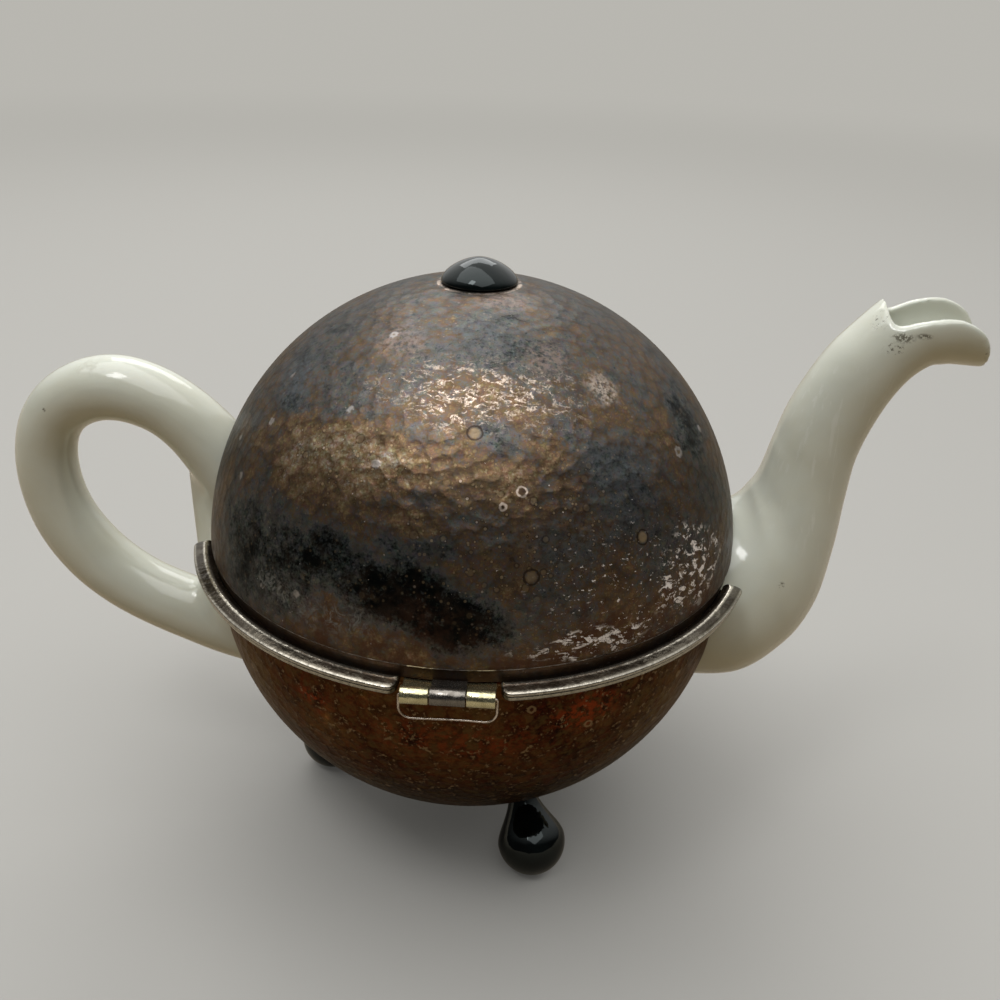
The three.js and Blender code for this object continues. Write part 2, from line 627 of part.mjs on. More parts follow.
const potBodySolid = revolve([
  [0, potUnderside],
  [potFootRadius - potFootWidth - 0.4, potUnderside],
  [potFootRadius - potFootWidth, potFootSole],
  [potFootRadius, potFootSole],
  [potFootRadius + 0.6, potUnderside],
  ...arc(0, potRadius, bellyStart, 0, innerSteps),
  ...shoulder(0, potRadius, neckRadius, innerSteps).slice(1),
  [neckRadius - 0.3, potNeckTop - 0.4],
  [neckRadius - 0.8, potNeckTop],
  [galleryRadius, potNeckTop],
  [galleryRadius, gallerySeat],
  [mouthRadius, gallerySeat],
  ...shoulder(-potWall, mouthRadius, innerRadius, innerSteps),
  ...arc(0, innerRadius, 0, degreesAt(innerFloor + 1.5, innerRadius), innerSteps).slice(1),
  [innerRadius * 0.42, innerFloor],
  [0, innerFloor],
], aroundPot);
// The pot's outside, to cut the roots of the spout and the handle to it
const potEnvelope = (grow) => revolve([
  ...arc(0, potRadius + grow, -90, 0, 2 * innerSteps),
  ...shoulder(grow, potRadius + grow, 0.001, 2 * innerSteps).slice(1, -1),
  [0, potShoulder + grow],
], aroundPot);

let strained = potBodySolid;
for (let i = -1; i < strainerHoles; i++) {
  const angle = (2 * Math.PI * i) / strainerHoles;
  const reach = i < 0 ? 0 : strainerPitch;
  const hole = rod(strainerHoleRadius, 0.6 * potRadius, 1.2 * potRadius, 8)
    .rotate([0, 90, 0])
    .translate([0, reach * Math.cos(angle), spoutSlot.z + reach * Math.sin(angle)]);
  strained = strained.subtract(hole);
}
addPart('pot_body', strained, materials.porcelain);

// The spout is a loft with a bore of the same form, cut open along the beak
const spoutPath = spoutSections.map(([x, z, heading, ...size]) => (
  [x * domeRadius, z * domeRadius, heading, ...size.map((length) => length * domeRadius)]
));
const spoutOuter = smoothSections(spoutPath, 22);
const tipSection = spoutPath.at(-1);
const tipTurn = THREE.MathUtils.degToRad(tipSection[2]);
const beyondTip = [tipSection[0] + 4 * Math.cos(tipTurn), tipSection[1] + 4 * Math.sin(tipTurn),
  tipSection[2], tipSection[3], tipSection[4]];
const spoutBore = smoothSections([...spoutPath, beyondTip], 15)
  .map(([x, z, heading, height, width]) => [x, z, heading, height - 2 * spoutWall, width - 2 * spoutWall]);
const beakOutline = beakLine.map(([x, z]) => [x * domeRadius, z * domeRadius]);
const beakMiddle = beakOutline[7][0];
const beakCut = barAlongY(beakOutline, potRadius)
  .translate([-beakMiddle, 0, 0])
  .rotate([0, 0, beakTurn])
  .translate([beakMiddle, 0, 0]);
const spout = loft(spoutOuter, 18)
  .subtract(loft(spoutBore, 12))
  .subtract(beakCut)
  .subtract(potEnvelope(fitGap));
addPart('pot_spout', spout, materials.porcelain);

// The handle is a loft round its loop, with a web that runs straight down beside the ball
function headed(sections) {
  const curve = new THREE.CatmullRomCurve3(sections.map(([x, z]) => new THREE.Vector3(x, 0, z)));
  return sections.map(([x, z, diameter], i) => {
    const tangent = curve.getTangent(i / (sections.length - 1));
    let heading = THREE.MathUtils.radToDeg(Math.atan2(tangent.z, tangent.x));
    if (heading < -90) heading += 360;
    return [x, z, heading, diameter, diameter];
  });
}
const webShape = new THREE.Shape();
webShape.moveTo(-potRadius + webRootDepth, -webHalfWidth - webSpread);
webShape.lineTo(webFace + webNose, -webHalfWidth);
webShape.quadraticCurveTo(webFace, -webHalfWidth, webFace, 0);
webShape.quadraticCurveTo(webFace, webHalfWidth, webFace + webNose, webHalfWidth);
webShape.lineTo(-potRadius + webRootDepth, webHalfWidth + webSpread);
const webExtrusion = { depth: 2 * webReach, bevelEnabled: false, curveSegments: 5 };
const web = solidFrom(new THREE.ExtrudeGeometry(webShape, webExtrusion).translate(0, 0, -webReach));
const handlePath = handleSections.map((section) => section.map((length) => length * domeRadius));
const handle = loft(smoothSections(headed(handlePath), 27), 12)
  .add(web)
  .subtract(potEnvelope(fitGap));
addPart('pot_handle', handle, materials.porcelain);

// Lid of the pot, with a skirt in the mouth, a knob and a steam hole
const lidSeat = gallerySeat + fitGap;
const lidEdgeRadius = galleryRadius - lidClearance;
const lidEdgeTop = potNeckTop + 0.3;
const skirtRadius = mouthRadius - lidClearance;
const knobFoot = lidEdgeTop + lidRise;
const lidKnobMiddle = knobFoot + lidKnobHeight - lidKnobRadius * 0.62;
const lidSolid = revolve([
  [0, knobFoot - lidWall],
  [0.6 * skirtRadius, knobFoot - lidWall - 1.2],
  [skirtRadius - lidSkirtWall, lidSeat + 0.4],
  [skirtRadius - lidSkirtWall, lidSeat - lidSkirtDepth],
  [skirtRadius - 0.3, lidSeat - lidSkirtDepth],
  [skirtRadius, lidSeat],
  [lidEdgeRadius, lidSeat],
  [lidEdgeRadius, lidEdgeTop - 0.4],
  [lidEdgeRadius - 0.6, lidEdgeTop],
  [0.8 * lidEdgeRadius, lidEdgeTop + 0.42 * lidRise],
  [0.5 * lidEdgeRadius, lidEdgeTop + 0.8 * lidRise],
  [lidKnobNeck + 1.2, knobFoot - 0.1],
  [lidKnobNeck, knobFoot + 1.2],
  [lidKnobRadius - 0.9, lidKnobMiddle - 1.8],
  [lidKnobRadius, lidKnobMiddle],
  [lidKnobRadius - 0.9, lidKnobMiddle + 2],
  [lidKnobRadius * 0.5, knobFoot + lidKnobHeight - 0.6],
  [0, knobFoot + lidKnobHeight],
], 20).subtract(rod(steamHoleRadius, 0, 2 * potShoulder, 8).translate([-steamHoleReach, 0, 0]));
addPart('pot_lid', lidSolid, materials.porcelain);

// Stand the teapot on Z = 0, centred on its bounding box
const bounds = new THREE.Box3().setFromObject(teapot, true);
const centre = bounds.getCenter(new THREE.Vector3());
teapot.position.set(-centre.x, -centre.y, -bounds.min.z);

export default teapot;
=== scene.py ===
import math

import bpy
import numpy as np
from mathutils import Matrix, Vector


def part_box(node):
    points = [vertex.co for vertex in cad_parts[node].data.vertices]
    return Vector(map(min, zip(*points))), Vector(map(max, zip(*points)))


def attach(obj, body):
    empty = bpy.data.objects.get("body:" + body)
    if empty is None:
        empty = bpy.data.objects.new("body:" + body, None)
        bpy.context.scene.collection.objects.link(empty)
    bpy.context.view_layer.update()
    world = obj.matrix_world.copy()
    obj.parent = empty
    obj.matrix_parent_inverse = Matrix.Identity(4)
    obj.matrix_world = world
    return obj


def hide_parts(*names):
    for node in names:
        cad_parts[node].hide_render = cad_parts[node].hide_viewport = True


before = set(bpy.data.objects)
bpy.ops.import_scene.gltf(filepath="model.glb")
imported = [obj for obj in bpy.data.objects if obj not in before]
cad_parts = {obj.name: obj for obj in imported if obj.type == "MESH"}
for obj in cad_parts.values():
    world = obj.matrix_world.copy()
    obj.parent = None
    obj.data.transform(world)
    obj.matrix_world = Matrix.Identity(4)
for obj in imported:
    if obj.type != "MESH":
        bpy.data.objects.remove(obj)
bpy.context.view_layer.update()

# Sizes that several pieces share
shared = {
    "domeRadius": 65.0,
    "domeCentre": 6.3,
    "bowlRadius": 63.7,
    "sheet": 0.9,
    "seam": 7.0,
    "gap": 0.3,
    "crestRadius": 66.3,
    "collarRadius": 64.3,
    "collarTop": 10.2,
    "hingeReach": 69.4,
    "hingeHeight": 7.5,
}

# The jacket's halves stop this high, either side of the seam
domeEdge = shared["seam"] + shared["gap"] / 2
bowlEdge = shared["seam"] - shared["gap"] / 2

potLow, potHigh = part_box("pot_body")
bowlLow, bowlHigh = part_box("bowl_shell")
ballMetres = Vector((
    (potLow.x + potHigh.x) / 2,
    (potLow.y + potHigh.y) / 2,
    bowlLow.z + shared["bowlRadius"] / 1000,
))


# Meshes

def addObject(name, data):
    made = bpy.data.objects.new(name, data)
    bpy.context.scene.collection.objects.link(made)
    return made


def meshPiece(name, points, faces, sharpAngle=40):
    mesh = bpy.data.meshes.new(name)
    metres = np.asarray(points, float) / 1000 + np.array(ballMetres)
    mesh.from_pydata(metres.tolist(), [], [list(map(int, face)) for face in faces])
    mesh.validate()
    made = addObject(name, mesh)
    smoothShade(made, sharpAngle)
    return made


def smoothShade(piece, sharpAngle=40):
    mesh = piece.data
    mesh.polygons.foreach_set("use_smooth", [True] * len(mesh.polygons))
    mesh.set_sharp_from_angle(angle=math.radians(sharpAngle))
    mesh.update()


def settle(piece):
    # Turns the piece's modifiers into its mesh
    bpy.context.view_layer.update()
    graph = bpy.context.evaluated_depsgraph_get()
    settled = bpy.data.meshes.new_from_object(piece.evaluated_get(graph))
    old = piece.data
    piece.modifiers.clear()
    piece.data = settled
    bpy.data.meshes.remove(old)


def combine(piece, other, operation="DIFFERENCE", sharpAngle=40):
    change = piece.modifiers.new("combine", "BOOLEAN")
    change.operation = operation
    change.solver = "EXACT"
    change.object = other
    settle(piece)
    bpy.data.objects.remove(other)
    smoothShade(piece, sharpAngle)
    return piece


def cutAway(piece, shape, sharpAngle=40):
    return combine(piece, meshPiece("cutter", *shape), sharpAngle=sharpAngle)


def lathe(profile, around=160):
    # A turned form about Z from radius and height pairs: a closed loop, or on the axis at both ends
    points = []
    rows = []
    angles = np.linspace(0, 2 * math.pi, around, endpoint=False)
    for radius, height in profile:
        if radius == 0:
            rows.append([len(points)])
            points.append((0, 0, height))
            continue
        rows.append(list(range(len(points), len(points) + around)))
        points += [(radius * math.cos(a), radius * math.sin(a), height) for a in angles]
    closed = profile[0][0] != 0
    pairs = list(zip(rows, rows[1:] + ([rows[0]] if closed else [])))
    faces = []
    for low, high in pairs:
        for i in range(around):
            j = (i + 1) % around
            if len(low) == 1:
                faces.append((low[0], high[j], high[i]))
            elif len(high) == 1:
                faces.append((low[i], low[j], high[0]))
            else:
                faces.append((low[i], low[j], high[j], high[i]))
    return np.array(points), flipped(faces) if outlineArea(profile) < 0 else faces


def arc(height, radius, start, end, steps):
    made = []
    for i in range(steps + 1):
        degrees = start + (end - start) * i / steps
        angle = math.radians(degrees)
        onPole = abs(abs(degrees) - 90) < 1e-9
        made.append((0.0 if onPole else radius * math.cos(angle), height + radius * math.sin(angle)))
    return made


def rounded(corners, radius, steps=4):
    # Rounds the corners of a closed outline, as far as its sides leave room
    made = []
    for i, corner in enumerate(corners):
        before = np.array(corners[i - 1], float)
        here = np.array(corner[:2], float)
        after = np.array(corners[(i + 1) % len(corners)], float)
        size = corner[2] if len(corner) > 2 else radius
        toBefore, toAfter = before[:2] - here, after[:2] - here
        reach = min(size, 0.45 * np.linalg.norm(toBefore), 0.45 * np.linalg.norm(toAfter))
        if reach < 1e-4:
            made.append(tuple(here))
            continue
        first = here + toBefore / np.linalg.norm(toBefore) * reach
        last = here + toAfter / np.linalg.norm(toAfter) * reach
        for step in range(steps + 1):
            t = step / steps
            made.append(tuple((1 - t) ** 2 * first + 2 * t * (1 - t) * here + t ** 2 * last))
    return made


def rod(radius, bottom, top, around=48):
    return lathe([(0, bottom), (radius, bottom), (radius, top), (0, top)], around)


def block(low, high):
    points = [(x, y, z) for x in (low[0], high[0]) for y in (low[1], high[1]) for z in (low[2], high[2])]
    faces = [(0, 1, 3, 2), (4, 6, 7, 5), (0, 4, 5, 1), (2, 3, 7, 6), (0, 2, 6, 4), (1, 5, 7, 3)]
    return np.array(points, float), faces


def flipped(faces):
    return [tuple(reversed(face)) for face in faces]


def outlineArea(outline):
    # Twice the area, positive when the outline runs anticlockwise
    return sum(a[0] * b[1] - b[0] * a[1] for a, b in zip([outline[-1], *outline], outline))


def stacked(rings):
    # A closed solid through rings with the same number of points, capped at both ends
    count = len(rings[0])
    top = count * (len(rings) - 1)
    faces = [tuple(range(count)), tuple(reversed(range(top, top + count)))]
    faces += [(row + i, row + i + count, row + (i + 1) % count + count, row + (i + 1) % count)
              for row in range(0, top, count) for i in range(count)]
    return np.array(rings, float).reshape(-1, 3), faces


def sleeve(count, rings):
    # Faces of a solid that runs through rings of points, its caps last
    top = count * (rings - 1)
    faces = [(row + i, row + (i + 1) % count, row + (i + 1) % count + count, row + i + count)
             for row in range(0, top, count) for i in range(count)]
    return [*faces, tuple(reversed(range(count))), tuple(range(top, top + count))]


def prism(outline, start, end, along):
    # An outline drawn out along X, its pairs in Y and Z, or along Y, its pairs in X and Z
    points, faces = stacked([
        [(reach, a, b) if along == "x" else (a, reach, b) for a, b in outline] for reach in (start, end)
    ])
    return points, flipped(faces) if (outlineArea(outline) > 0) == (along == "x") else faces


def turned(shape, matrix):
    points, faces = shape
    whole = np.array(matrix)
    return points @ whole[:3, :3].T + whole[:3, 3], faces


def smoothCurve(points, count):
    # A centripetal curve through the points, with the same steps between each two of them
    points = np.array(points, float)
    ends = [2 * points[0] - points[1], 2 * points[-1] - points[-2]]
    padded = np.vstack([ends[0], points, ends[1]])
    made = []
    for i in range(count + 1):
        place = (len(points) - 1) * i / count
        part = min(int(place), len(points) - 2)
        t = place - part
        p0, p1, p2, p3 = padded[part:part + 4]
        d0, d1, d2 = (max(np.dot(b - a, b - a), 1e-12) ** 0.25 for a, b in ((p0, p1), (p1, p2), (p2, p3)))
        t1 = ((p1 - p0) / d0 - (p2 - p0) / (d0 + d1) + (p2 - p1) / d1) * d1
        t2 = ((p2 - p1) / d1 - (p3 - p1) / (d1 + d2) + (p3 - p2) / d2) * d1
        made.append(p1 + t1 * t + (-3 * p1 + 3 * p2 - 2 * t1 - t2) * t ** 2 + (2 * p1 - 2 * p2 + t1 + t2) * t ** 3)
    return np.array(made)


def loft(sections, sides):
    # A closed solid through oval sections across the plane Y = 0: x, z, heading, height, width
    points = []
    for x, z, heading, height, width in sections:
        turn = math.radians(heading)
        for side in range(sides):
            angle = 2 * math.pi * side / sides
            up = height / 2 * math.cos(angle)
            points.append((x - math.sin(turn) * up, -width / 2 * math.sin(angle), z + math.cos(turn) * up))
    return np.array(points), sleeve(sides, len(sections))


def remeshed(piece, size, rounds, extra=None, extraRounds=0):
    # Even small faces, then smoothing, which rounds the cut edges. The extra rounds only fill inner corners;
    # the function extra gives each point's share of them
    change = piece.modifiers.new("even", "REMESH")
    change.mode = "VOXEL"
    change.voxel_size = size / 1000
    settle(piece)
    mesh = piece.data
    count = len(mesh.vertices)
    places = np.empty(count * 3)
    mesh.vertices.foreach_get("co", places)
    places = places.reshape(-1, 3)
    ends = np.empty(len(mesh.edges) * 2, np.int64)
    mesh.edges.foreach_get("vertices", ends)
    ends = ends.reshape(-1, 2)
    both = np.concatenate([ends, ends[:, ::-1]])
    neighbours = np.maximum(np.bincount(both[:, 0], minlength=count), 1)
    share = None if extra is None else extra((places - np.array(ballMetres)) * 1000)[:, None]
    normals = np.empty(count * 3)
    for turn in range(rounds + extraRounds):
        if turn >= rounds and (turn - rounds) % 20 == 0:
            mesh.vertices.foreach_set("co", places.ravel())
            mesh.update()
            mesh.vertex_normals.foreach_get("vector", normals)
        mean = np.stack([np.bincount(both[:, 0], places[both[:, 1], k], count) for k in range(3)], 1)
        step = 0.5 * (mean / neighbours[:, None] - places)
        if turn >= rounds:
            outward = np.sum(step * normals.reshape(-1, 3), 1)[:, None]
            step = step * share * np.clip(outward / 2e-6, 0, 1)
        places = places + step
    mesh.vertices.foreach_set("co", places.ravel())
    smoothShade(piece, 60)
    return piece


# Shader building. A node goes into the tree that the values it is given come from, unless a tree is named.

def feed(socket, value):
    # Links what comes from another node, sets what is a plain number or colour
    if isinstance(value, bpy.types.NodeSocket):
        socket.id_data.links.new(value, socket)
    elif socket.type == "RGBA":
        socket.default_value = (*value[:3], 1)
    else:
        socket.default_value = value


def newNode(kind, inputs=None, tree=None, **settings):
    inputs = inputs or {}
    if tree is None:
        tree = next(value.id_data for value in inputs.values() if isinstance(value, bpy.types.NodeSocket))
    made = tree.nodes.new(kind)
    for key, value in settings.items():
        setattr(made, key, value)
    for key, value in inputs.items():
        feed(made.inputs[key], value)
    return made


def calc(operation, first, second=0.0, third=0.0):
    return newNode("ShaderNodeMath", {0: first, 1: second, 2: third}, operation=operation).outputs[0]


def times(first, second):
    return calc("MULTIPLY", first, second)


def plus(first, second):
    return calc("ADD", first, second)


def minus(first, second):
    return calc("SUBTRACT", first, second)


def scaledPlus(value, factor, rest):
    return calc("MULTIPLY_ADD", value, factor, rest)


def larger(first, second):
    return calc("MAXIMUM", first, second)


def nearTo(value, target, full, none):
    # 1 within full of the target, falling to 0 at none
    return spread(calc("ABSOLUTE", minus(value, target)), full, none, 1.0, 0.0)


def vectorCalc(operation, first, second=(0, 0, 0), third=(0, 0, 0)):
    made = newNode("ShaderNodeVectorMath", {0: first, 1: second}, operation=operation)
    if operation == "MULTIPLY_ADD":
        made.inputs[2].default_value = third
    return made.outputs["Value" if operation in ("LENGTH", "DISTANCE", "DOT_PRODUCT") else "Vector"]


def spread(value, fromLow, fromHigh, toLow=0.0, toHigh=1.0):
    return newNode("ShaderNodeMapRange", {
        "Value": value, "From Min": fromLow, "From Max": fromHigh, "To Min": toLow, "To Max": toHigh,
    }, interpolation_type="SMOOTHSTEP").outputs["Result"]


def blend(factor, first, second, mode="MIX"):
    return newNode("ShaderNodeMix", {0: factor, 6: first, 7: second}, data_type="RGBA", blend_type=mode).outputs[2]


def coat(colour, tint, mask, strength):
    # Lays a tint over the colour where the mask is
    return blend(times(mask, strength), colour, tint)


def lerp(factor, first, second):
    return newNode("ShaderNodeMix", {0: factor, 2: first, 3: second}, data_type="FLOAT").outputs[0]


def patchy(low, high, *grain):
    # Noise with these settings: nothing under low, full above high
    return spread(noise(*grain), low, high)


def axisOf(vector, axis):
    return newNode("ShaderNodeSeparateXYZ", {"Vector": vector}).outputs[axis]


def mapped(vector, **turns):
    # The vector turned and stretched: Rotation in radians, Scale
    return newNode("ShaderNodeMapping", {"Vector": vector, **turns}).outputs[0]


def ramp(value, stops):
    made = newNode("ShaderNodeValToRGB", {"Fac": value})
    elements = made.color_ramp.elements
    while len(elements) < len(stops):
        elements.new(0.5)
    for element, (position, colour) in zip(elements, stops):
        element.position = position
        element.color = (*colour, 1)
    return made.outputs["Color"]


def noise(vector, scale, detail=4.0, roughness=0.55, distortion=0.0, output="Fac"):
    return newNode("ShaderNodeTexNoise", {
        "Vector": vector, "Scale": scale, "Detail": detail, "Roughness": roughness, "Distortion": distortion,
    }).outputs[output]


def groupTree(name, inputs, outputs):
    # inputs and outputs are (name, socket type, default) rows
    tree = bpy.data.node_groups.new(name, "ShaderNodeTree")
    for way, rows in (("INPUT", inputs), ("OUTPUT", outputs)):
        for title, kind, default in rows:
            socket = tree.interface.new_socket(name=title, in_out=way, socket_type=f"NodeSocket{kind}")
            if default is not None:
                socket.default_value = default
    return tree, tree.nodes.new("NodeGroupInput").outputs, tree.nodes.new("NodeGroupOutput").inputs


def useGroup(group, place, **values):
    # The values go to the group's inputs of the same names
    return newNode("ShaderNodeGroup", {"Place": place, **values}, node_tree=group).outputs


def ballPlaceGroup():
    # The place on the piece in millimetres about the ball's centre
    tree, _, wanted = groupTree("ballPlace", [], [("Place", "Vector", None)])
    coordinates = newNode("ShaderNodeTexCoord", tree=tree).outputs["Object"]
    scaled = vectorCalc("MULTIPLY_ADD", coordinates, (1000, 1000, 1000), tuple(-1000 * c for c in ballMetres))
    feed(wanted["Place"], scaled)
    return tree


def zoneGroup():
    # A soft-edged zone round a middle, with its own reach along X, Y and Z and a ragged border
    tree, given, wanted = groupTree("zone", [
        ("Place", "Vector", None), ("Middle", "Vector", (0, 0, 0)), ("Reach", "Vector", (10, 10, 10)),
        ("Ragged", "Float", 0.5), ("Softness", "Float", 0.5),
    ], [("Mask", "Float", None)])
    away = vectorCalc("SUBTRACT", given["Place"], given["Middle"])
    share = vectorCalc("LENGTH", vectorCalc("DIVIDE", away, given["Reach"]))
    broad = minus(noise(given["Place"], 0.09, 5.0, 0.62), 0.5)
    uneven = scaledPlus(times(broad, given["Ragged"]), 2.6, share)
    feed(wanted["Mask"], spread(uneven, minus(1.0, given["Softness"]), 1.0, 1.0, 0.0))
    return tree


def cloudGroup():
    # Mottled clouds of tarnish: Cloud is broad, Speckle is fine
    tree, given, wanted = groupTree("tarnishClouds", [
        ("Place", "Vector", None), ("Size", "Float", 12.0), ("Seed", "Float", 0.0),
        ("Low", "Float", 0.45), ("High", "Float", 0.6),
    ], [("Cloud", "Float", None), ("Speckle", "Float", None)])
    shift = newNode("ShaderNodeCombineXYZ", {"X": given["Seed"], "Y": times(given["Seed"], 1.7)}).outputs[0]
    place = vectorCalc("ADD", given["Place"], shift)
    scale = calc("DIVIDE", 1.0, given["Size"])
    feed(wanted["Cloud"], patchy(given["Low"], given["High"], place, scale, 7.0, 0.62, 0.6))
    feed(wanted["Speckle"], patchy(0.48, 0.66, place, times(scale, 9.0), 5.0, 0.7))
    return tree


def dentGroup():
    # Shallow hammer marks: Height is 0 in the middle of a mark, Ridge marks the lines between them
    tree, given, wanted = groupTree("hammerMarks", [
        ("Place", "Vector", None), ("Size", "Float", 3.6), ("Unevenness", "Float", 0.6),
    ], [("Height", "Float", None), ("Ridge", "Float", None)])
    shove = vectorCalc("SUBTRACT", noise(given["Place"], 0.35, 2.0, output="Color"), (0.5, 0.5, 0.5))
    shoved = vectorCalc("SCALE", shove)
    feed(shoved.node.inputs["Scale"], times(given["Unevenness"], 2.2))
    place = vectorCalc("ADD", given["Place"], shoved)
    scale = calc("DIVIDE", 1.0, given["Size"])
    near, wide = (newNode("ShaderNodeTexVoronoi", {
        "Vector": place, "Scale": size, "Smoothness": smoothness, "Randomness": randomness,
    }, feature="SMOOTH_F1").outputs["Distance"] for size, smoothness, randomness in (
        (scale, 0.25, 0.85), (times(scale, 0.52), 0.4, 1.0),
    ))
    grain = times(noise(given["Place"], 1.6, 4.0, 0.6), 0.10)
    feed(wanted["Height"], plus(plus(calc("POWER", near, 1.6), times(wide, 0.5)), grain))
    feed(wanted["Ridge"], spread(near, 0.42, 0.75))
    return tree


def spotGroup():
    # Dried drops: pale rings and small round spots, a share of them missing
    tree, given, wanted = groupTree("driedDrops", [
        ("Place", "Vector", None), ("Size", "Float", 5.0), ("Amount", "Float", 0.4), ("Drop", "Float", 0.3),
    ], [("Ring", "Float", None), ("Spot", "Float", None)])
    cells = newNode("ShaderNodeTexVoronoi", {
        "Vector": given["Place"], "Scale": calc("DIVIDE", 1.0, given["Size"]), "Randomness": 0.9,
    })
    chance = newNode("ShaderNodeSeparateColor", {"Color": cells.outputs["Color"]}).outputs
    wobble = times(minus(noise(given["Place"], 1.3, 3.0), 0.5), 0.12)
    away = plus(cells.outputs["Distance"], wobble)
    size = times(scaledPlus(chance[1], 0.75, 0.25), given["Drop"])
    present = calc("LESS_THAN", chance[0], given["Amount"])
    offEdge = calc("ABSOLUTE", minus(away, size))
    feed(wanted["Ring"], times(spread(offEdge, 0.02, 0.07, 1.0, 0.0), present))
    inside = minus(away, times(size, 0.8))
    spot = times(spread(inside, -0.06, 0.02, 1.0, 0.0), present)
    feed(wanted["Spot"], spot)
    return tree


def scratchGroup():
    # Fine hair scratches in two directions
    tree, given, wanted = groupTree("hairScratches", [
        ("Place", "Vector", None), ("Length", "Float", 9.0), ("Amount", "Float", 0.5),
    ], [("Mask", "Float", None)])
    total = None
    for turn in ((0.4, 0.9, 0.2), (1.9, 0.3, 1.1)):
        spun = mapped(given["Place"], Rotation=turn)
        stretched = vectorCalc("MULTIPLY", spun, (1.0, 0.045, 1.0))
        lines = noise(stretched, calc("DIVIDE", 26.0, given["Length"]), 3.0, 0.5)
        thin = nearTo(lines, 0.5, 0.0, 0.012)
        total = thin if total is None else larger(total, thin)
    gate = patchy(minus(1.0, given["Amount"]), 1.0, given["Place"], 0.25, 2.0)
    feed(wanted["Mask"], times(total, gate))
    return tree


def edgeGroup():
    # Worn outer edges, and painted shade in the inner corners, from how the mesh bends
    tree, given, wanted = groupTree("edgesAndCorners", [("Spread", "Float", 0.03)], [
        ("Edge", "Float", None), ("Corner", "Float", None),
    ])
    bend = newNode("ShaderNodeNewGeometry", tree=tree).outputs["Pointiness"]
    feed(wanted["Edge"], spread(bend, 0.505, plus(0.5, given["Spread"])))
    feed(wanted["Corner"], spread(bend, minus(0.5, given["Spread"]), 0.495, 1.0, 0.0))
    return tree


ballPlace = ballPlaceGroup()
zone = zoneGroup()
tarnishClouds = cloudGroup()
hammerMarks = dentGroup()
driedDrops = spotGroup()
hairScratches = scratchGroup()
edgesAndCorners = edgeGroup()


def newMaterial(name):
    made = bpy.data.materials.new(name)
    made.use_nodes = True
    tree = made.node_tree
    tree.nodes.clear()
    shader = newNode("ShaderNodeBsdfPrincipled", tree=tree)
    newNode("ShaderNodeOutputMaterial", {"Surface": shader.outputs[0]})
    return made, shader.inputs, newNode("ShaderNodeGroup", tree=tree, node_tree=ballPlace).outputs["Place"]


def bump(height, distance, strength=1.0):
    return newNode("ShaderNodeBump", {
        "Height": height, "Distance": distance / 1000, "Strength": strength,
    }).outputs["Normal"]


def zoneMask(place, middle, reach, ragged=0.5, softness=0.5):
    return useGroup(zone, place, Middle=middle, Reach=reach, Ragged=ragged, Softness=softness)["Mask"]


def blotched(amount, place, blotches):
    # Lets the amount of tarnish wander in blotches of several sizes
    for scale, detail, gain in blotches:
        amount = scaledPlus(minus(noise(place, scale, detail, 0.66, 0.4), 0.5), gain, amount)
    return amount


def dress(piece, material, slotName, body, *nodes):
    piece.data.materials.clear()
    piece.data.materials.append(material)
    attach(piece, body)
    if nodes:
        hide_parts(*nodes)
    return piece


